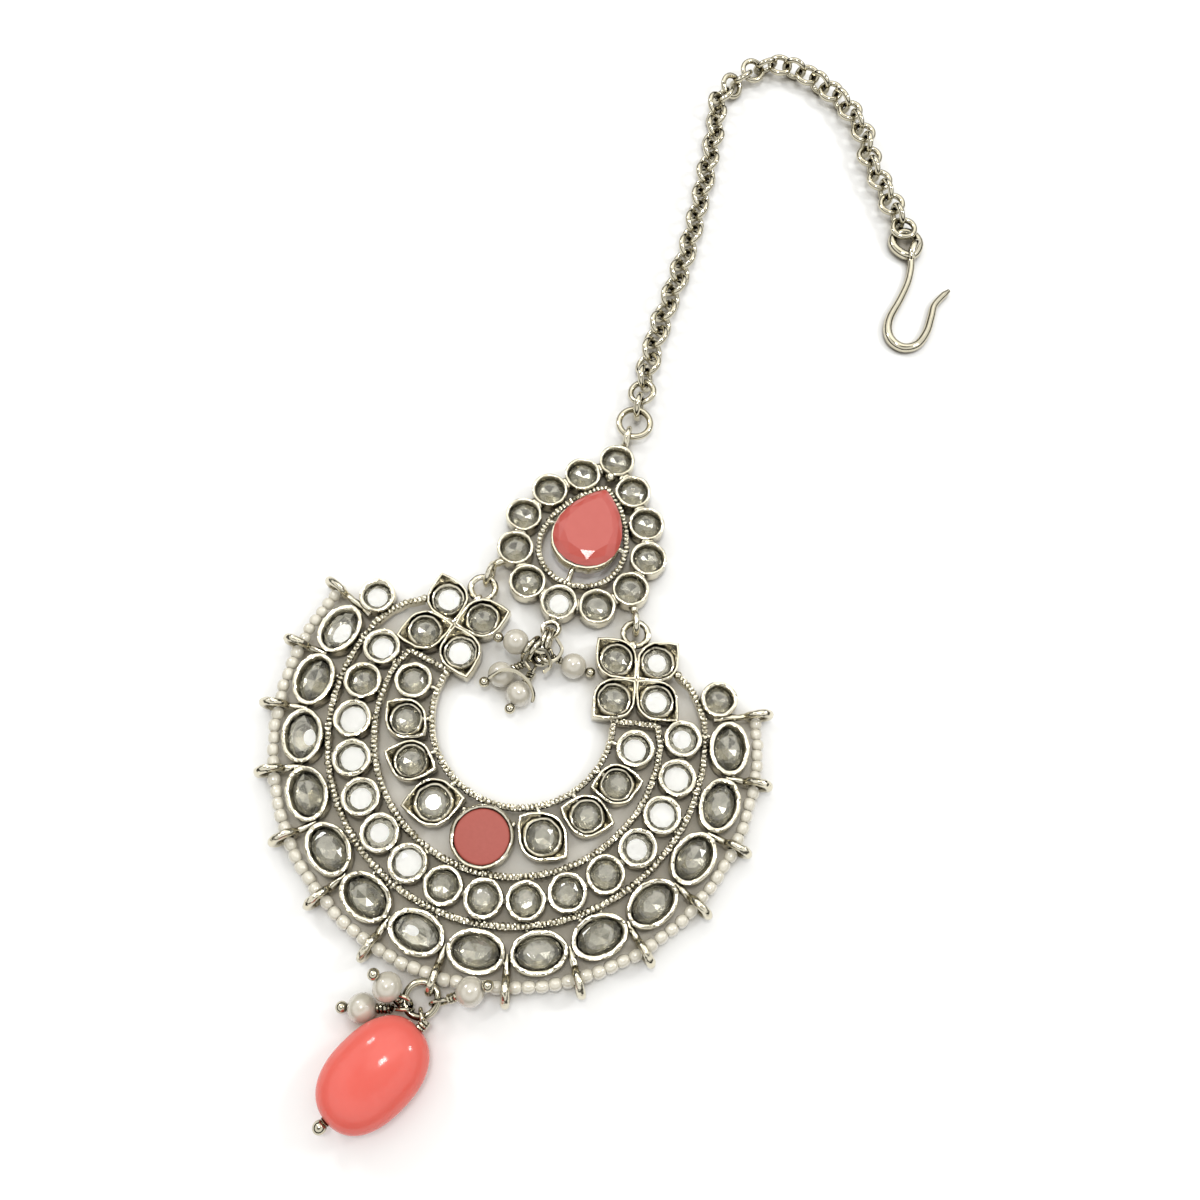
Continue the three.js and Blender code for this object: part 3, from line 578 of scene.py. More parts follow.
# %% Swept wire
def swept(path, radius, sides=10, closed=False, ends=0.0):
    """A round wire along a path; ends shortens the radius over the first and last rows."""
    path = np.asarray(path, float)
    after = np.roll(path, -1, 0) if closed else np.vstack([path[1:], path[-1:] * 2 - path[-2:-1]])
    before = np.roll(path, 1, 0) if closed else np.vstack([path[:1] * 2 - path[1:2], path[:-1]])
    along = after - before
    along /= np.linalg.norm(along, axis=1)[:, None]
    helper = np.array([0.0, 0.0, 1.0]) if abs(along[0][2]) < 0.9 else np.array([1.0, 0.0, 0.0])
    side = np.cross(helper, along[0])
    rows = []
    turns = np.arange(sides) * 2 * math.pi / sides
    radii = np.broadcast_to(radius, len(path)).copy()
    if ends:
        radii[0] *= ends
        radii[-1] *= ends
    for point, direction, size in zip(path, along, radii):
        side = side - direction * np.dot(side, direction)
        side /= np.linalg.norm(side)
        rise = np.cross(direction, side)
        rows.append(point + size * (np.outer(np.cos(turns), side) + np.outer(np.sin(turns), rise)))
    return skin(rows, wrapped=closed)


def smooth_path(points, count):
    """A smooth curve through the points given, at count even places."""
    points = np.asarray(points, float)
    ends = np.vstack([points[0] * 2 - points[1], points, points[-1] * 2 - points[-2]])
    fine = []
    for index in range(1, len(ends) - 2):
        a, b, c, d = ends[index - 1:index + 3]
        for share in np.arange(12) / 12:
            square, cube = share ** 2, share ** 3
            fine.append(0.5 * (2 * b + (c - a) * share + (2 * a - 5 * b + 4 * c - d) * square
                               + (3 * b - a - 3 * c + d) * cube))
    fine.append(ends[-2])
    fine = np.asarray(fine)
    lengths = np.concatenate([[0], np.cumsum(np.linalg.norm(np.diff(fine, axis=0), axis=1))])
    marks = np.linspace(0, lengths[-1], count)
    return np.stack([np.interp(marks, lengths, fine[:, axis]) for axis in range(points.shape[1])], 1)


def wire_ring(centre, across, along, radius, wire, steps=28, sides=10):
    """A closed ring of wire in the plane of two directions."""
    angles = np.arange(steps) * 2 * math.pi / steps
    across, along = np.asarray(across, float), np.asarray(along, float)
    normal = np.cross(across, along)
    rows = []
    turns = np.arange(sides) * 2 * math.pi / sides
    for angle in angles:
        out = across * math.cos(angle) + along * math.sin(angle)
        middle = np.asarray(centre) + out * radius
        rows.append(middle + wire / 2 * (np.outer(np.cos(turns), out) + np.outer(np.sin(turns), normal)))
    return skin(rows, wrapped=True)


UP = np.array([0.0, 0.0, 1.0])


def plan_way(degrees):
    return np.array([math.cos(math.radians(degrees)), math.sin(math.radians(degrees)), 0.0])


def on_arc(radius, degrees, y=0.0):
    """A plan point at an angle measured from straight down, positive to the right."""
    angle = math.radians(degrees)
    return np.array([radius * math.sin(angle), y - radius * math.cos(angle)])


def arc(radius, start, end, y=0.0, step=2.0):
    count = math.ceil(abs(end - start) / step)
    return [on_arc(radius, start + (end - start) * index / count, y) for index in range(count + 1)]


# %% [markdown]
# The crescent's rows are circles about one centre. The middle row has round cups at an even pitch, the
# outer row has oval cups, and the inner row has pointed cups round the coral disc. Sizes repeat those
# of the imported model.

# %% Crescent layout
MIDDLE = {"radius": 25.35, "pitch": 13.87, "per_side": 8}
OUTER = {"radius": 32.6, "pitch": 15.72, "per_side": 7}
OVAL_CUP = {"length": 8.5, "width": 6.3}
ROUND_CUP = 5.9
END_CUP = {"x": 28.4, "y": 13.93, "size": 5.8}
INNER_ROUND = {"x": 17.98, "y": 2.47}
INNER_CUPS = [
    {"x": 16.87, "y": -3.62, "length": 8.2, "width": 6.3, "turn": -24},
    {"x": 13.93, "y": -9.46, "length": 8.5, "width": 6.4, "turn": -1.5},
    {"x": 8.53, "y": -14.3, "length": 9.6, "width": 7.2, "turn": 24},
]
FLOWER = {"x": 15.1, "y": 13.0, "reach": 4.63, "length": 9.2, "width": 6.6}
PETAL_TURNS = [122, 32, 209, -58]

round_cups, leaf_cups, oval_cups = [], [], []
for hand in (-1, 1):
    for step in range(MIDDLE["per_side"]):
        angle = hand * MIDDLE["pitch"] * (step + 0.5)
        x, y = on_arc(MIDDLE["radius"], angle)
        round_cups.append({"x": x, "y": y, "size": ROUND_CUP, "turn": angle})
    round_cups.append({**END_CUP, "x": hand * END_CUP["x"], "turn": 15})
    round_cups.append({**INNER_ROUND, "x": hand * INNER_ROUND["x"], "size": ROUND_CUP, "turn": 40})
    for cup in INNER_CUPS:
        turn = cup["turn"] if hand < 0 else 180 - cup["turn"]
        leaf_cups.append({**cup, "x": hand * cup["x"], "turn": turn})
    for petal in PETAL_TURNS:
        way = petal if hand < 0 else 180 - petal
        out = plan_way(way) * FLOWER["reach"]
        leaf_cups.append({
            "x": hand * FLOWER["x"] + out[0], "y": FLOWER["y"] + out[1], "turn": way,
            "length": FLOWER["length"], "width": FLOWER["width"],
        })
for index in range(OUTER["per_side"] * 2):
    angle = (index + 0.5 - OUTER["per_side"]) * OUTER["pitch"]
    x, y = on_arc(OUTER["radius"], angle)
    oval_cups.append({"x": x, "y": y, "turn": angle})
print("round, leaf and oval cups:", len(round_cups), len(leaf_cups), len(oval_cups))

# %% Crescent casting
ROUND_RIM = 0.68
LEAF_RIM = 0.42
LEAF_STONE = 0.68
LEAF_COLLAR = [
    (1.3, RIM_Z - 0.95), (1.22, RIM_Z - 0.62), (1.13, RIM_Z - 0.5), (1.04, RIM_Z - 0.6),
    (0.98, STONE_Z - 0.1),
]
OVAL_RIM = 0.74
SOLDER = {"width": 1.1, "low": BACK_Z, "high": RIM_Z - 0.5}

crescent = []
for cup in round_cups:
    crescent.append(cup_wall(oval_plan(cup["size"], cup["size"]), cup, ROUND_RIM, 0.84))
for cup in oval_cups:
    crescent.append(cup_wall(oval_plan(**OVAL_CUP, count=40), cup, OVAL_RIM, 1.0))


def leaf_cup(cup):
    """A pointed cup with a thin rim and a collar round its stone."""
    plan = leaf_plan(cup["length"], cup["width"])
    stone = cup["width"] / 2 * LEAF_STONE
    edge = plan(0)
    ways = edge / np.linalg.norm(edge, axis=1)[:, None]
    rows = [placed(plan(inset), z, cup) for inset, z in [
        (0.12, BACK_Z), (0.0, BACK_Z + 0.16), (0.0, RIM_Z - 0.25), (0.05, RIM_Z - 0.08), (0.14, RIM_Z),
        (LEAF_RIM - 0.08, RIM_Z), (LEAF_RIM, RIM_Z - 0.1),
    ]]
    for share, z in LEAF_COLLAR:
        rows.append(placed(ways * stone * share, z, cup))
    rows.append(placed(ways * stone * 0.95, CUP_FLOOR_Z, cup))
    return skin(rows)


for cup in leaf_cups:
    crescent.append(leaf_cup(cup))

# %% [markdown]
# The ropes follow the rows: one inside the inner row, one on each side of the middle row. Short roped
# pieces close the ends. Where cups nearly touch, a drop of solder joins them, and short bars tie the
# inner row to its rope.

# %% Ropes and solder
INNER_ROPE = {"radius": 14.0, "end": 105.4, "y": 2.2}
MIDDLE_ROPE = {"radius": 21.95, "end": 100.7}
OUTER_ROPE = {"radius": 28.85, "end": 111.0}
CLOSING_ROPE = [[21.6, 4.1], [20.3, 7.1], [14.0, 5.86]]
TIP_ROPE = [[26.9, 10.3], [25.5, 12.6], [23.7, 14.5], [21.2, 15.9]]

crescent += roped_wire(arc(INNER_ROPE["radius"], -INNER_ROPE["end"], INNER_ROPE["end"], INNER_ROPE["y"]))
crescent += roped_wire(arc(MIDDLE_ROPE["radius"], -MIDDLE_ROPE["end"], MIDDLE_ROPE["end"]))
crescent += roped_wire(arc(OUTER_ROPE["radius"], -OUTER_ROPE["end"], OUTER_ROPE["end"]))
for hand in (-1, 1):
    crescent += roped_wire([[hand * x, y] for x, y in CLOSING_ROPE])
    crescent += roped_wire([[hand * x, y] for x, y in TIP_ROPE])


def tie(start, end, width=SOLDER["width"], high=SOLDER["high"]):
    """A short bar of solder between two plan points, round on top."""
    start, end = np.asarray(start, float), np.asarray(end, float)
    middle = (start + end) / 2
    length = np.linalg.norm(end - start)
    return [
        bar([start, end], width * 0.7, BACK_Z, high - 0.3),
        bead([*middle, high - 0.35], [*(end - start), 0], length * 1.25, width, 0.8, 10, 6),
    ]


for hand in (-1, 1):
    for step in range(MIDDLE["per_side"] - 1):
        angle = hand * MIDDLE["pitch"] * (step + 1)
        across = np.array([math.cos(math.radians(angle)), math.sin(math.radians(angle))]) * 0.55
        joint = on_arc(MIDDLE["radius"], angle)
        crescent += tie(joint - across, joint + across)
    for cup in [INNER_ROUND, *INNER_CUPS]:
        out = np.array([hand * cup["x"], cup["y"] - INNER_ROPE["y"]])
        out /= np.linalg.norm(out)
        centre = np.array([0, INNER_ROPE["y"]])
        crescent += tie(centre + out * 14.0, centre + out * 15.6, 0.9, ROPE_Z)
joint = on_arc(MIDDLE["radius"], 0)
crescent += tie(joint - [0.5, 0], joint + [0.5, 0])


def solder_drops(radius, degrees, spread, count):
    """Small drops of solder scattered where a rope meets a cup."""
    drops = []
    for _ in range(count):
        size = chance.uniform(0.45, 0.75)
        aside = chance.uniform(-0.3, 0.3)
        point = on_arc(radius + aside, degrees + chance.uniform(-spread, spread))
        drops.append(bead([*point, ROPE_Z - chance.uniform(0.2, 0.6)], [1, 0, 0], size, size, size, 8, 5))
    return drops


for hand in (-1, 1):
    for step in range(MIDDLE["per_side"]):
        at = hand * MIDDLE["pitch"] * (step + 0.5)
        crescent += solder_drops(MIDDLE_ROPE["radius"] + 0.55, at, 3.0, 3)
        crescent += solder_drops(OUTER_ROPE["radius"] - 0.55, at, 2.5, 3)
for cup in oval_cups:
    crescent += solder_drops(OUTER_ROPE["radius"] + 0.5, cup["turn"], 3.5, 3)
    crescent += solder_drops(OUTER["radius"] + 1.2, cup["turn"] + OUTER["pitch"] / 2, 0.8, 2)

# %% [markdown]
# Round the outer edge stand cast loops, one in each gap between the ovals. Each loop is thicker at the
# outside than where it meets the cups, and a short neck carries it.

# %% Edge loops and tip rings
LOOP = {"radius": 37.4, "ring": 1.82, "wire": 1.3, "z": 2.5, "end": 110.9, "neck": 1.16}
TIP_RING = {"x": 12.92, "y": 20.6, "ring": 2.0, "wire": 1.05, "z": 2.2}
FLOWER_BALL = {"x": FLOWER["x"], "y": FLOWER["y"], "across": 2.2, "high": 1.6}
TIP_BALL = {"x": 21.2, "y": 15.9, "across": 1.4, "high": 1.4}


def edge_loop(degrees, neck_from):
    centre = [*on_arc(LOOP["radius"], degrees), LOOP["z"]]
    out = np.array([*on_arc(1, degrees), 0.0])
    side = np.cross(out, UP)
    rows = []
    turns = np.arange(10) * 2 * math.pi / 10
    for angle in np.arange(28) * 2 * math.pi / 28:
        way = out * math.cos(angle) + UP * math.sin(angle)
        wire = LOOP["wire"] / 2 * (0.93 + 0.1 * math.cos(angle))
        middle = np.array(centre) + way * LOOP["ring"]
        rows.append(middle + wire * (np.outer(np.cos(turns), way) + np.outer(np.sin(turns), side)))
    neck = [[*on_arc(radius, degrees), z] for radius, z in ((neck_from, 2.2), (34.4, 2.4), (35.7, 2.4))]
    return [skin(rows, wrapped=True), swept(smooth_path(neck, 8), LOOP["neck"] / 2, 10)]


for step in range(-6, 7):
    crescent += edge_loop(step * OUTER["pitch"], 32.6)
for hand in (-1, 1):
    crescent += edge_loop(hand * LOOP["end"], 30.4)
    ring_at = [hand * TIP_RING["x"], TIP_RING["y"], TIP_RING["z"]]
    crescent.append(wire_ring(ring_at, [1, 0, 0], [0, 1, 0], TIP_RING["ring"], TIP_RING["wire"]))
    crescent += tie([hand * 12.85, 19.2], [hand * 13.4, 17.7], 1.2)
    for ball in (FLOWER_BALL, TIP_BALL):
        ball_at = [hand * ball["x"], ball["y"], ROPE_Z - 0.4]
        crescent.append(bead(ball_at, [1, 0, 0], ball["across"], ball["across"], ball["high"], 12, 7))

# %% Coral disc's cup
DISC = {"x": 0.0, "y": -16.94, "cup": 9.5, "stone": 8.3, "floor": 1.5, "top": 3.0}
disc_plan = oval_plan(DISC["cup"], DISC["cup"], 56)
disc_inset = (DISC["cup"] - DISC["stone"]) / 2 - 0.06
crescent.append(skin([placed(disc_plan(inset), z, DISC) for inset, z in [
    (0.14, BACK_Z), (0.0, BACK_Z + 0.16), (0.0, RIM_Z - 0.3), (0.06, RIM_Z - 0.1), (0.2, RIM_Z),
    (disc_inset - 0.14, RIM_Z - 0.04), (disc_inset, RIM_Z - 0.16), (disc_inset, DISC["floor"] - 0.01),
]]))
for way in (-52, 52):
    out = np.array([math.sin(math.radians(way)), math.cos(math.radians(way))])
    tied = np.array([DISC["x"], DISC["y"]]) + 4.7 * out
    crescent += tie(tied - [0.0, 0.3], tied + [0.2 * way / 52, 0.5], 0.9)

CASTING_WEAR = 0.11
piece(
    "crescent_casting", crescent, plated_casting,
    replaces=["crescent_frame"], wear=CASTING_WEAR,
)

# %% [markdown]
# The stones are set by hand, so each one leans a little. That is why some flash white while their
# neighbours stay grey. A fixed seed keeps the leaning the same every time.

# %% Small clear stones
random.seed(11)


def leaning(most=5.0):
    """A small lean in two directions."""
    return math.radians(random.uniform(-most, most)), math.radians(random.uniform(-most, most))


def round_stone(cup, size, seen=None):
    at = {**cup, "turn": random.uniform(0, 45)}
    return cut_stone(oval_plan(size, size, 48), at, STONE_Z, 0.6, 0.62, 0.5, leaning(6.0), seen)


# Stones given a painted white flash, and its size as a share of the stone.
ROUND_SEEN = {
    1: 0.82, 2: 0.6, 3: 0.68, 4: 0.78, 5: 0.86, 7: 0.72, 8: 0.7,
    14: 0.66, 15: 0.8, 16: 0.8, 17: 0.6, 19: 0.74,
}
LEAF_SEEN = {3: 0.74, 6: 0.74, 10: 0.6, 12: 0.7}
OVAL_SEEN = {0: (0.5, (0.3, 0.4)), 2: (0.36, (0.1, 0.85)), 6: (0.3, (-0.7, 0.0))}


def seen_in(chart, index):
    """How big the painted white flash is in a stone, and where."""
    if index not in chart:
        return None
    return chart[index], (chance.uniform(-0.12, 0.12), chance.uniform(-0.12, 0.12))


STONE_INSET = 0.8
small_stones = []
for index, cup in enumerate(round_cups):
    small_stones.append(round_stone(cup, cup["size"] - 2 * STONE_INSET, seen=seen_in(ROUND_SEEN, index)))
for index, cup in enumerate(leaf_cups):
    size = cup["width"] * LEAF_STONE * 0.98
    small_stones.append(round_stone(cup, size, seen=seen_in(LEAF_SEEN, index)))

# %% Oval stones
oval_stones = []
for index, cup in enumerate(oval_cups):
    plan = oval_plan(OVAL_CUP["length"] - 1.85, OVAL_CUP["width"] - 1.85, 48)
    oval_stones.append(cut_stone(plan, cup, STONE_Z, 0.65, 0.7, 0.5, leaning(5.0), OVAL_SEEN.get(index)))
stones_piece("cut_oval_stones", oval_stones, [f"oval_stone_{index + 1}" for index in range(14)])

# %% Coral disc
piece("ground_coral_disc", [skin([
    placed(oval_plan(DISC["stone"], DISC["stone"], 56)(inset), z, DISC)
    for inset, z in [(0, DISC["floor"] + 0.02), (0, 2.75), (0.06, 2.9), (0.2, 2.98), (0.34, DISC["top"])]
])], coral_matt, replaces=["coral_round_stone"])

# %% [markdown]
# The teardrop piece has a ring of round cups about a roped pear outline. Inside it a pear-shaped collar
# stands higher than the rest and carries the coral stone, held by four small struts.

# %% Teardrop layout
TEARDROP = {"x": 0.285, "y": 34.3, "turn": -3.3}
TEARDROP_CUP = 6.05
TEARDROP_RIM = 0.56
TEARDROP_STONE = TEARDROP_CUP - 2 * 0.66
TEARDROP_CUPS = [
    [0, 15.3], [4.56, 10.7], [8.65, 5.85], [11.0, 0], [10.1, -6.15], [6.03, -11.0],
    [0, -12.5], [-6.03, -11.0], [-10.1, -6.15], [-11.0, 0], [-8.65, 5.85], [-4.56, 10.7],
]
PEAR_TIP = 0.62
PEAR_FULL = 1.09
PEAR_ROPE = {"length": 18.9, "width": 15.6, "y": 0.6}
PEAR_CUP = {
    "length": 14.9, "width": 12.6, "x": 0.25, "y": 1.0,
    "low": 2.4, "high": 4.75, "wall": 0.45,
}
PEAR_STONE = {
    "length": 14.4, "width": 12.4, "x": 0.35, "y": 1.25,
    "low": 2.9, "girdle": 4.85, "top": 5.85, "table": 0.7,
}


def on_teardrop(x, y):
    turn = math.radians(TEARDROP["turn"])
    return np.array([
        TEARDROP["x"] + x * math.cos(turn) - y * math.sin(turn),
        TEARDROP["y"] + x * math.sin(turn) + y * math.cos(turn),
    ])


def pear(length, width, count=72):
    """A pear outline with its tip towards the chain."""
    angles = np.arange(count) * 2 * math.pi / count
    taper = np.abs(np.sin(angles / 2)) ** PEAR_TIP
    return np.stack([-width / 2 * np.sin(angles) * taper * PEAR_FULL, length / 2 * np.cos(angles)], 1)


def pear_row(length, width, y, z, count=72, x=0.0):
    x0, y0 = on_teardrop(x, y)
    return placed(pear(length, width, count), z, {"x": x0, "y": y0, "turn": TEARDROP["turn"]})


# %% Teardrop casting
teardrop = []
teardrop_cups = []
for x, y in TEARDROP_CUPS:
    px, py = on_teardrop(x, y)
    cup = {"x": px, "y": py, "size": TEARDROP_CUP}
    teardrop_cups.append(cup)
    teardrop.append(cup_wall(oval_plan(TEARDROP_CUP, TEARDROP_CUP), cup, TEARDROP_RIM, 0.7))
for index, near in enumerate(teardrop_cups):
    far = teardrop_cups[(index + 1) % len(teardrop_cups)]
    a, b = np.array([near["x"], near["y"]]), np.array([far["x"], far["y"]])
    teardrop += tie(a * 0.57 + b * 0.43, a * 0.43 + b * 0.57, 2.2, RIM_Z - 0.25)
rope_path = pear_row(PEAR_ROPE["length"], PEAR_ROPE["width"], PEAR_ROPE["y"], 0, 120)[:, :2]
teardrop += roped_wire(rope_path, closed=True)


def collar_row(inset, z):
    length, width = PEAR_CUP["length"] - 2 * inset, PEAR_CUP["width"] - 2 * inset
    return pear_row(length, width, PEAR_CUP["y"], z, x=PEAR_CUP["x"])


wall = PEAR_CUP["wall"]
teardrop.append(skin([collar_row(inset, z) for inset, z in [
    (0.1, PEAR_CUP["low"]), (0.0, PEAR_CUP["low"] + 0.15), (0.0, PEAR_CUP["high"] - 0.2),
    (0.12, PEAR_CUP["high"]), (wall - 0.1, PEAR_CUP["high"]), (wall, PEAR_CUP["high"] - 0.15),
    (wall, PEAR_CUP["low"]),
]], wrapped=True))
STRUTS = [
    [[-6.9, 0.5], [-5.2, 0.6]], [[0, -8.4], [0, -5.3]],
    [[6.9, -0.2], [5.2, 0.0]], [[0, 9.3], [0, 7.6]],
]
for start, end in STRUTS:
    start, end = on_teardrop(*start), on_teardrop(*end)
    strut = [[*start, 2.4], [*((start + end) / 2), 2.7], [*end, 2.9]]
    teardrop.append(swept(smooth_path(strut, 8), 0.5, 10))
ball_at = on_teardrop(0, 12.05)
teardrop.append(bead([*ball_at, ROPE_Z - 0.2], [1, 0, 0], 1.9, 1.9, 1.9, 14, 8))

# %% Bail and eyelets
BAIL = {"x": 1.5, "y": 54.7, "turn": 92.6, "ring": 1.75, "wire": 1.05}
EYELETS = [
    BAIL,
    {"x": -12.7, "y": 23.3, "turn": 88.8, "ring": 1.75, "wire": 1.05},
    {"x": 12.4, "y": 22.3, "turn": 108.5, "ring": 1.75, "wire": 1.05},
]
LOWER_EYELET = {"x": -0.28, "y": 17.15, "ring": 1.25, "wire": 0.95, "z": 2.6}
EYELET_Z = 2.3
for eyelet in EYELETS:
    centre = [eyelet["x"], eyelet["y"], EYELET_Z]
    teardrop.append(wire_ring(centre, plan_way(eyelet["turn"]), UP, eyelet["ring"], eyelet["wire"]))
teardrop.append(wire_ring(
    [LOWER_EYELET["x"], LOWER_EYELET["y"], LOWER_EYELET["z"]], [1, 0, 0], [0, 1, 0],
    LOWER_EYELET["ring"], LOWER_EYELET["wire"],
))
EYELET_NECKS = [
    ([1.4, 52.3], [1.45, 53.3]), ([-11.5, 26.3], [-12.6, 25.0]),
    ([11.1, 25.1], [11.7, 24.1]), ([-0.4, 19.1], [-0.3, 18.3]),
]
NECK_RADII = [0.75] * 2 + [0.68] * 3 + [0.6] * 3
for start, end in EYELET_NECKS:
    middle = [(start[0] + end[0]) / 2, (start[1] + end[1]) / 2]
    neck = smooth_path([[*start, 2.2], [*middle, 2.35], [*end, 2.4]], len(NECK_RADII))
    teardrop.append(swept(neck, NECK_RADII, 12))
piece(
    "teardrop_casting", teardrop, plated_casting,
    replaces=["teardrop_frame"], wear=CASTING_WEAR,
)

TEARDROP_SEEN = {6: 0.62}
for index, cup in enumerate(teardrop_cups):
    small_stones.append(round_stone(cup, TEARDROP_STONE, seen=seen_in(TEARDROP_SEEN, index)))
stones_piece("cut_round_stones", small_stones)

# %% [markdown]
# The coral pear has a broad table and cut edges. Its facets are flat, so it isn't smoothed: each edge
# changes the reflection at once, which is what makes the bright triangle near its round end.

# %% Coral pear
PEAR_FACETS = 24


def pear_facets(share, z):
    angles = np.arange(PEAR_FACETS) * 2 * math.pi / PEAR_FACETS
    taper = np.abs(np.sin(angles / 2)) ** PEAR_TIP
    plan = np.stack([
        -PEAR_STONE["width"] / 2 * np.sin(angles) * taper * PEAR_FULL,
        PEAR_STONE["length"] / 2 * np.cos(angles),
    ], 1)
    x0, y0 = on_teardrop(PEAR_STONE["x"], PEAR_STONE["y"])
    return placed(plan * share, z, {"x": x0, "y": y0, "turn": TEARDROP["turn"]})


pear_rows = [
    pear_facets(0.5, PEAR_STONE["low"]),
    pear_facets(0.86, PEAR_STONE["girdle"] - 0.5),
    pear_facets(1.0, PEAR_STONE["girdle"]),
]
pear_points, pear_faces = skin(pear_rows, cap_last=False)
girdle_start = 2 * PEAR_FACETS
kite_start = 3 * PEAR_FACETS
table_start = kite_start + PEAR_FACETS // 2
kites = pear_facets(0.88, PEAR_STONE["girdle"] + 0.62)[1::2]
table = pear_facets(PEAR_STONE["table"], PEAR_STONE["top"])[::2]
pear_points = np.vstack([pear_points, kites, table])
half = PEAR_FACETS // 2
for step in range(half):
    after, before = (step + 1) % half, (step - 1) % half
    kite, kite_before = kite_start + step, kite_start + before
    top, top_after = table_start + step, table_start + after
    edge = [girdle_start + (2 * step + extra) % PEAR_FACETS for extra in range(3)]
    pear_faces += [(top, kite, top_after), (kite_before, edge[0], kite, top)]
    pear_faces += [(kite, edge[0], edge[1]), (kite, edge[1], edge[2])]
pear_faces.append(tuple(range(table_start, table_start + half)))
piece(
    "cut_coral_pear", [(pear_points, pear_faces)], coral_cut,
    smooth=None, replaces=["coral_pear_stone"],
)

# %% [markdown]
# The chain is a rolo chain: round links, each through the next, turned a quarter turn from it. On a
# surface the pairs roll to lie on both edges. Each link is set at an even step along the chain's route.

# %% Chain
CHAIN_ROUTE = [
    [1.72, 61.45], [0.6, 76.4], [0.8, 100.6], [-1.6, 129.1], [-2.9, 135.8], [-0.1, 144.1], [4.7, 149.5],
    [10.3, 150.3], [16.6, 147.9], [22.3, 144.1], [27.1, 138.1], [30.2, 130.9], [34.5, 124.3], [39.5, 116.6],
]
LINK = {"ring": 2.08, "wire": 1.1, "pitch": 3.1}
LINK_ROLLS = [[0, 78], [12, 45], [78, 45], [96, 3], [150, 3]]

link_route = smooth_path(CHAIN_ROUTE, 400)
link_length = float(np.sum(np.linalg.norm(np.diff(link_route, axis=0), axis=1)))
link_points, link_ways = even_points(link_route, link_length / round(link_length / LINK["pitch"]))
print("chain length in mm:", round(link_length, 1), "links:", len(link_points))
links = []
for index, (point, way) in enumerate(zip(link_points, link_ways)):
    distance = index * LINK["pitch"]
    roll = np.interp(distance, [row[0] for row in LINK_ROLLS], [row[1] for row in LINK_ROLLS])
    roll = math.radians(roll + 90 * (index % 2) + random.uniform(-6, 6))
    along = np.array([*way, 0.0])
    side = np.cross(UP, along)
    across = side * math.cos(roll) + UP * math.sin(roll)
    lean = max(abs(math.sin(roll)), abs(math.cos(roll)))
    centre = [*point, LINK["ring"] * lean + LINK["wire"] / 2]
    links.append(wire_ring(centre, along, across, LINK["ring"], LINK["wire"], 24, 10))
piece("rolo_chain", links, plated_wire, replaces=["chain"])

# %% Top ring
TOP_RING = {"x": 1.9, "y": 58.25, "ring": 2.75, "wire": 1.15, "z": 2.2}


def flat_ring(ring, steps):
    """A ring of wire lying flat."""
    centre = [ring["x"], ring["y"], ring["z"]]
    return wire_ring(centre, [1, 0, 0], [0, 1, 0], ring["ring"], ring["wire"], steps, 12)


piece("big_jump_ring", [flat_ring(TOP_RING, 40)], plated_wire, replaces=["top_jump_ring"])

# %% [markdown]
# The hook is one piece of wire: an eye that is closed on itself, a long shank, a round bend and a tip
# that turns out. Its end is rounded so that it doesn't scratch.

# %% Hook
HOOK_WIRE = [[0, 1.35], [0.3, 1.5], [0.5, 1.8], [0.62, 1.75], [0.8, 1.5], [0.97, 1.35], [1.0, 0.8]]
HOOK_EYE = {"x": 40.7, "y": 114.5, "ring": 2.6, "wire": 1.75, "z": 1.3, "neck": -62, "drawn_out": 0.2}
HOOK_PATH = [
    [42.15, 111.8, 1.1], [42.8, 109.7, 0.85], [42.9, 105.9, 0.7], [42.2, 101.4, 0.68],
    [41.1, 96.5, 0.68], [41.3, 93.2, 0.68], [42.7, 91.1, 0.68], [44.9, 90.6, 0.68],
    [47.1, 92.1, 0.68], [48.3, 95.4, 0.68], [48.6, 99.1, 0.68], [48.7, 102.0, 0.68],
    [49.7, 104.5, 0.7], [50.8, 106.4, 0.8],
]
HOOK_END = [[42.9, 115.3, 1.6], [42.3, 113.7, 2.3], [42.1, 112.2, 2.1], [42.35, 111.0, 1.5]]
hook_path = smooth_path(HOOK_PATH, 120)
hook_radii = np.interp(np.linspace(0, 1, len(hook_path)), *np.transpose(HOOK_WIRE)) / 2
hook_path[:, 2] = np.maximum(hook_path[:, 2], hook_radii + 0.02)
eye_angles = np.arange(48) * 2 * math.pi / 48
towards_neck = np.maximum(0, np.cos(eye_angles - math.radians(HOOK_EYE["neck"])))
eye_reach = HOOK_EYE["ring"] * (1 + HOOK_EYE["drawn_out"] * towards_neck ** 5)
eye_path = np.stack([
    HOOK_EYE["x"] + eye_reach * np.cos(eye_angles), HOOK_EYE["y"] + eye_reach * np.sin(eye_angles),
    np.full(48, HOOK_EYE["z"]),
], 1)
piece("wire_hook", [
    swept(hook_path, hook_radii, 14), swept(eye_path, HOOK_EYE["wire"] / 2, 14, closed=True),
    swept(smooth_path(HOOK_END, 16), HOOK_EYE["wire"] * 0.42, 12, ends=0.5),
], plated_wire, replaces=["hair_hook"])

# %% [markdown]
# The seed beads are threaded through the edge loops, five or so between one loop and the next. Real
# seed beads are short barrels with a hole, never quite alike, so each gets its own length and width.

# %% Seed bead string
STRING = {"radius": 37.05, "z": 2.1, "bead": 1.9, "per_gap": 5, "clear_of_loop": 0.75, "thread": 0.6}
BARREL_END = 72
LONG_GAP = 16.2


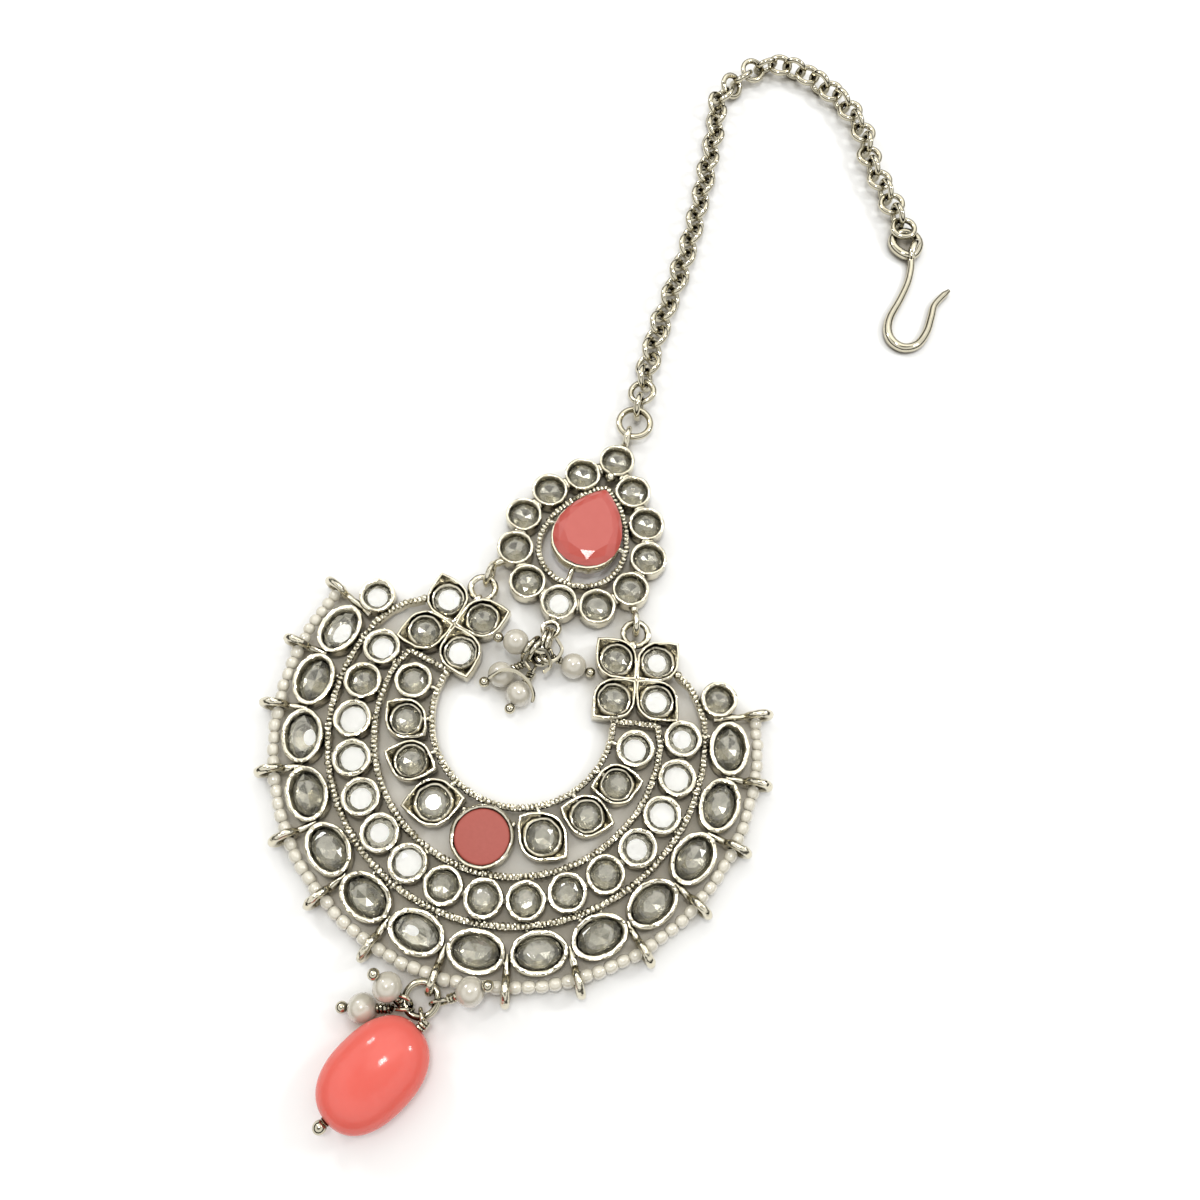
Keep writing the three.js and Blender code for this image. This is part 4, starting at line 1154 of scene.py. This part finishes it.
def seed_bead(centre, along, long, wide, hole=0.4):
    """A short barrel with a hole through it."""
    along = np.asarray(along, float)
    side = np.cross(UP, along)
    profile = []
    for angle in np.radians(np.linspace(-BARREL_END, BARREL_END, 9)):
        profile.append((long / 2 * math.sin(angle) / math.sin(math.radians(BARREL_END)),
                        wide / 2 * math.cos(angle) ** 0.5))
    profile.append((long / 2 * 0.9, hole))
    profile.insert(0, (-long / 2 * 0.9, hole))
    turns = np.arange(14) * 2 * math.pi / 14
    circle = np.outer(np.cos(turns), side) + np.outer(np.sin(turns), UP)
    rows = [np.asarray(centre) + along * offset + radius * circle for offset, radius in profile]
    return skin(rows, wrapped=True)


seeds = []
loop_marks = [-LOOP["end"], *[step * OUTER["pitch"] for step in range(-6, 7)], LOOP["end"]]
for start, end in zip(loop_marks[:-1], loop_marks[1:]):
    room = math.radians(end - start) * STRING["radius"] - STRING["clear_of_loop"]
    count = STRING["per_gap"] + (1 if end - start > LONG_GAP else 0)
    pitch = room / count
    for index in range(count):
        distance = STRING["clear_of_loop"] / 2 + pitch * (index + 0.5)
        angle = start + math.degrees(distance / STRING["radius"])
        way = math.radians(angle)
        along = np.array([math.cos(way), math.sin(way), 0.0])
        point = on_arc(STRING["radius"] + random.uniform(-0.12, 0.12), angle)
        seed_at = [*point, STRING["z"] + random.uniform(-0.08, 0.08)]
        long = pitch * random.uniform(0.93, 1.0)
        seeds.append(seed_bead(seed_at, along, long, STRING["bead"] * random.uniform(0.94, 1.04)))
thread_path = [[*point, STRING["z"]] for point in arc(STRING["radius"], -112.4, 112.4)]
seeds.append(swept(thread_path, STRING["thread"] / 2, 8))
piece(
    "threaded_seed_beads", seeds, seed_glass,
    smooth=math.radians(60), replaces=["seed_bead_string"],
)
print("seed beads:", len(seeds) - 1)

# %% [markdown]
# Each pearl hangs on a headpin: a wire with a ball at one end, wound round itself beyond the pearl and
# closed in a loop about the ring that holds it. The windings are what make the clusters look busy.

# %% Pearls and pins
PEARL = 4.1
PEARL_HOLE = 0.3
PIN = {"wire": 0.5, "ball": 1.7, "loop": 1.35, "offset": 0.4}
CENTRE_RING = {"x": -0.3, "y": 14.7, "ring": 2.15, "wire": 0.84, "z": 2.7}
CENTRE_PEARLS = [
    {"x": 4.95, "y": 12.5, "z": 2.15, "hold": 168},
    {"x": -5.5, "y": 7.7, "z": 2.15, "hold": 190},
    {"x": -1.8, "y": 5.6, "z": 2.1, "hold": 214},
    {"x": -4.7, "y": 12.9, "z": 4.2, "hold": 138},
]
DROP_RING = {"x": -0.7, "y": -40.4, "ring": 2.3, "wire": 1.0, "z": 2.6}
DROP_PEARLS = [
    {"x": 5.6, "y": -37.5, "z": 4.95, "hold": 5},
    {"x": -5.5, "y": -40.2, "z": 4.6, "hold": 210},
    {"x": -8.2, "y": -43.8, "z": 2.1, "hold": 230},
]


def unit(vector):
    vector = np.asarray(vector, float)
    return vector / np.linalg.norm(vector)


def on_standing_ring(ring, degrees):
    """A point on a ring that stands on its edge, and the wire's direction there."""
    cos, sin = math.cos(math.radians(degrees)), math.sin(math.radians(degrees))
    point = np.array([ring["x"], ring["y"] + ring["ring"] * cos, ring["z"] + ring["ring"] * sin])
    return point, np.array([0, -sin, cos])


def on_flat_ring(ring, degrees):
    """A point on a ring that lies flat, and the wire's direction there."""
    cos, sin = math.cos(math.radians(degrees)), math.sin(math.radians(degrees))
    point = np.array([ring["x"] + ring["ring"] * cos, ring["y"] + ring["ring"] * sin, ring["z"]])
    return point, np.array([-sin, cos, 0])


def pearl_form(centre, along, size=PEARL):
    """A round bead with a small hole at each pole."""
    along = unit(along)
    side = unit(np.cross(UP, along))
    rise = np.cross(along, side)
    turns = np.arange(36) * 2 * math.pi / 36
    circle = np.outer(np.cos(turns), side) + np.outer(np.sin(turns), rise)
    rows = [np.asarray(centre) - along * size * 0.42 + PEARL_HOLE * circle]
    for angle in np.radians(np.linspace(9, 171, 25)):
        middle = np.asarray(centre) - along * size / 2 * math.cos(angle)
        rows.append(middle + size / 2 * math.sin(angle) * circle)
    rows.append(np.asarray(centre) + along * size * 0.42 + PEARL_HOLE * circle)
    return skin(rows, wrapped=True)


def wound(start, along, wire, turns_count, radius, rise_per_turn):
    """Wire wound round an axis."""
    along = unit(along)
    side = unit(np.cross(UP, along))
    rise = np.cross(along, side)
    angles = np.linspace(0, turns_count * 2 * math.pi, round(turns_count * 18))
    path = [np.asarray(start) + along * (angle / (2 * math.pi) * rise_per_turn)
            + radius * (math.cos(angle) * side + math.sin(angle) * rise) for angle in angles]
    return swept(path, wire / 2, 8, ends=0.6)


def headpin(bead_at, bead_half, hold):
    """The ball, wire, windings and loop of one pin."""
    point, tangent = hold
    wire, ball = PIN["wire"], PIN["ball"]
    to_ring = unit(point - bead_at)
    head = bead_at - to_ring * (bead_half + ball / 2 - 0.05)
    loop_at = point - to_ring * PIN["offset"]
    across = unit(np.cross(tangent, to_ring))
    exit_at = bead_at + to_ring * (bead_half + 0.05)
    neck_end = loop_at - to_ring * PIN["loop"]
    room = np.linalg.norm(neck_end - exit_at)
    windings = max(1.5, min(4.0, room / (wire * 1.1)))
    return [
        bead(head, to_ring, ball, ball, ball, 20, 12),
        swept([head, neck_end], wire / 2, 8),
        wound(exit_at, to_ring, wire, windings, wire * 0.95, wire * 1.08),
        wire_ring(loop_at, to_ring, across, PIN["loop"], wire, 30, 8),
    ]


def hang_pearls(cluster, pearls, ring, on_ring):
    for index, pearl in enumerate(pearls):
        centre = np.array([pearl["x"], pearl["y"], pearl["z"]])
        hold = on_ring(ring, pearl["hold"])
        name = f"{cluster}_{index + 1}"
        piece(f"coated_pearl_{name}", [pearl_form(centre, hold[0] - centre)], pearl_coat,
              replaces=[f"{cluster}_pearl_{index + 1}"])
        piece(f"headpin_{name}", headpin(centre, PEARL / 2, hold), plated_wire,
              replaces=[f"{cluster}_pin_{index + 1}"])


hang_pearls("centre", CENTRE_PEARLS, CENTRE_RING, on_standing_ring)
hang_pearls("drop", DROP_PEARLS, DROP_RING, on_flat_ring)

# %% Cluster rings
TURN_APART = 0.78
LOWER_TURN = {"at": np.array([-2.3, 12.9, 3.3]), "ring": 2.0, "wire": 0.8, "apart": 0.95}
LOOSE_WIRE = 0.6
turns = []
for offset in (-TURN_APART / 2, TURN_APART / 2):
    turn_at = [CENTRE_RING["x"] + offset, CENTRE_RING["y"], CENTRE_RING["z"]]
    turns.append(wire_ring(turn_at, [0, 1, 0], UP, CENTRE_RING["ring"], CENTRE_RING["wire"], 36, 10))
for offset in (0.0, LOWER_TURN["apart"]):
    turn_at = LOWER_TURN["at"] + np.array([offset, 0, 0])
    turns.append(wire_ring(turn_at, plan_way(70), UP, LOWER_TURN["ring"], LOWER_TURN["wire"], 32, 10))
piece("double_jump_ring", turns, plated_wire, replaces=["centre_jump_ring"])
LOOSE_WIRES = [
    [[1.2, 15.4, 4.4], [2.6, 13.8, 4.2], [1.9, 11.9, 3.9], [0.1, 11.6, 4.4], [-0.5, 13.3, 5.0]],
    [
        [0.9, 9.6, 3.4], [1.6, 11.0, 4.0], [0.4, 12.6, 4.8],
        [-1.8, 12.2, 4.9], [-2.4, 10.4, 4.5], [-1.0, 9.2, 4.2],
    ],
    [
        [-6.9, 6.0, 4.2], [-5.2, 7.6, 4.9], [-3.2, 8.1, 4.9],
        [-0.9, 7.3, 4.6], [0.5, 5.9, 3.9], [0.7, 4.6, 3.2],
    ],
]
piece("loose_pin_wires", [
    swept(smooth_path(path, 40), LOOSE_WIRE / 2, 8, ends=0.7) for path in LOOSE_WIRES
], plated_wire)
piece("lower_jump_ring", [
    flat_ring(DROP_RING, 36),
], plated_wire, replaces=["drop_jump_ring"])

# %% [markdown]
# The drop is a puffed oval bead, drilled lengthwise. It is wider than it is deep, with soft edges, and a
# pin runs through it to a ball at its lower end.

# %% Coral drop
DROP = {"x": -3.4, "y": -50.95, "z": 4.05, "length": 16.0, "width": 12.0, "depth": 8.0, "turn": 61}
DROP_PIN = {"ball": 1.9, "wire": 0.6, "bend": 0.6, "hold": -70}
drop_at = np.array([DROP["x"], DROP["y"], DROP["z"]])
drop_way = plan_way(DROP["turn"])
drop_side = np.cross(UP, drop_way)
drop_rows = []
drop_turns = np.arange(64) * 2 * math.pi / 64
DROP_FULL = 2 / 2.3
for angle in np.radians(np.linspace(4, 176, 57)):
    reach = math.sin(angle) ** DROP_FULL
    along = math.copysign(abs(math.cos(angle)) ** DROP_FULL, math.cos(angle))
    drop_rows.append(drop_at - drop_way * DROP["length"] / 2 * along + reach * (
        np.outer(np.cos(drop_turns), drop_side) * DROP["width"] / 2
        + np.outer(np.sin(drop_turns), UP) * DROP["depth"] / 2
    ))
for sign, position in ((1, len(drop_rows)), (-1, 0)):
    mouth = drop_at + sign * drop_way * DROP["length"] * 0.46 + 0.42 * (
        np.outer(np.cos(drop_turns), drop_side) + np.outer(np.sin(drop_turns), UP)
    )
    drop_rows.insert(position, mouth)
piece(
    "polished_coral_drop", [skin(drop_rows, wrapped=True)], coral_polished,
    replaces=["coral_drop"],
)

drop_point, drop_tangent = on_flat_ring(DROP_RING, DROP_PIN["hold"])
drop_head = drop_at - drop_way * (DROP["length"] / 2 + DROP_PIN["ball"] / 2 + 0.08)
drop_bend = drop_at + drop_way * (DROP["length"] / 2 + DROP_PIN["bend"])
drop_to_ring = unit(drop_point - drop_bend)
drop_loop = drop_point - drop_to_ring * PIN["offset"]
drop_across = unit(np.cross(drop_tangent, drop_to_ring))
drop_foot = drop_at - drop_way * (DROP["length"] / 2 + 0.15)
drop_wire = [drop_head, drop_at, drop_bend, drop_loop - drop_to_ring * PIN["loop"]]
piece("drop_headpin", [
    bead(drop_head, drop_way, DROP_PIN["ball"], DROP_PIN["ball"], DROP_PIN["ball"], 22, 14),
    bead(drop_foot, drop_way, 0.5, 1.5, 1.5, 18, 8),
    swept(smooth_path(drop_wire, 40), DROP_PIN["wire"] / 2, 10),
    wound(drop_at + drop_way * (DROP["length"] / 2 + 0.05), drop_way, 0.5, 2.5, 0.55, 0.52),
    wire_ring(drop_loop, drop_to_ring, drop_across, PIN["loop"], DROP_PIN["wire"], 30, 10),
], plated_wire, replaces=["coral_drop_pin"])

# %% [markdown]
# The floor is plain white paper with painted shade: an ambient occlusion node darkens its colour where
# the casting closes it in. The light is a studio's: a small soft panel above, one on each side of the
# chain, and a pale room. Polished metal shows its dark lines from a dark skirting that it mirrors; the
# wall that is seen directly is pale.

# %% Floor
FLOOR_HALF = 1.5
floor_mesh = bpy.data.meshes.new("floor")
floor_corners = [(-1, -1), (1, -1), (1, 1), (-1, 1)]
floor_mesh.from_pydata([(x * FLOOR_HALF, y * FLOOR_HALF, 0) for x, y in floor_corners], [], [(0, 1, 2, 3)])
floor = bpy.data.objects.new("floor", floor_mesh)
bpy.context.scene.collection.objects.link(floor)
paper, paper_tree, paper_shader = material("white_paper", {"Roughness": 0.9})
# Painted shade on the paper: darker where the casting closes it in.
CREVICE_MM = 4.0
crevice = add(paper_tree, "ShaderNodeAmbientOcclusion", {"Distance": CREVICE_MM * MM, "samples": 8})
openness = add(
    paper_tree, "ShaderNodeMapRange",
    {"From Min": 0.2, "From Max": 0.62},
    {"Value": crevice.outputs["AO"]},
)
paper_painted_shade_tone = add(
    paper_tree, "ShaderNodeMixRGB",
    {"Color1": linear("#beb5a1"), "Color2": linear("#f1f1f0")},
    {"Fac": openness.outputs["Result"]},
)
paper_tree.links.new(paper_painted_shade_tone.outputs["Color"], paper_shader.inputs["Base Color"])
floor_mesh.materials.append(paper)

# %% Light
LIGHTS = [
    {"name": "flash_above", "at": (-15, 5, 430), "size": 60, "watts": 0.38},
    {"name": "lamp_right", "at": (260, 190, 300), "size": 60, "watts": 0.3},
    {"name": "lamp_left", "at": (-260, 160, 260), "size": 60, "watts": 0.24},
]
for setting in LIGHTS:
    lamp_data = bpy.data.lights.new(setting["name"], "AREA")
    lamp_data.shape = "SQUARE"
    lamp_data.size = setting["size"] * MM
    lamp_data.energy = setting["watts"]
    lamp = bpy.data.objects.new(setting["name"], lamp_data)
    bpy.context.scene.collection.objects.link(lamp)
    lamp.location = Vector(metres(setting["at"]))
    aim = Vector(metres((5, 30, 0))) - lamp.location
    lamp.rotation_euler = aim.to_track_quat("-Z", "Y").to_euler()

# %% Room
MIRRORED_IN_FLATS = (-0.08, 0.40, 0.91)
PATCH_GLOW = (1.7, 1.67, 1.6, 1.0)
world = bpy.data.worlds.new("room")
bpy.context.scene.world = world
world.use_nodes = True
room = world.node_tree
backdrop = room.nodes["Background"]
way = add(room, "ShaderNodeTexCoord").outputs["Generated"]
height = add(room, "ShaderNodeSeparateXYZ", (), {"Vector": way}).outputs["Z"]
ring = add(room, "ShaderNodeValToRGB", (), {"Fac": height})
ring.color_ramp.interpolation = "EASE"
ring.color_ramp.elements[0].position = 0.30
ring.color_ramp.elements[0].color = linear("#22201b")
ring.color_ramp.elements[1].position = 0.50
ring.color_ramp.elements[1].color = linear("#ffffff")
for position, tint in ((0.80, "#ffffff"), (0.93, "#6c6c68")):
    ring.color_ramp.elements.new(position).color = linear(tint)
toward = add(room, "ShaderNodeVectorMath", {"operation": "DOT_PRODUCT"}, {"Vector": way})
toward.inputs[1].default_value = MIRRORED_IN_FLATS
patch = add(
    room, "ShaderNodeMapRange",
    {"interpolation_type": "SMOOTHSTEP", "From Min": 0.86, "From Max": 0.95},
    {"Value": toward.outputs["Value"]},
)
tone = add(
    room, "ShaderNodeMixRGB",
    {"Color2": PATCH_GLOW},
    {"Fac": patch.outputs["Result"], "Color1": ring.outputs["Color"]},
)
seen_directly = add(room, "ShaderNodeLightPath").outputs["Is Camera Ray"]
wall = add(
    room, "ShaderNodeMixRGB",
    {"Color2": linear("#f2f2f0")},
    {"Fac": seen_directly, "Color1": tone.outputs["Color"]},
)
room.links.new(wall.outputs["Color"], backdrop.inputs["Color"])
ROOM_STRENGTH = 1.08
backdrop.inputs["Strength"].default_value = ROOM_STRENGTH
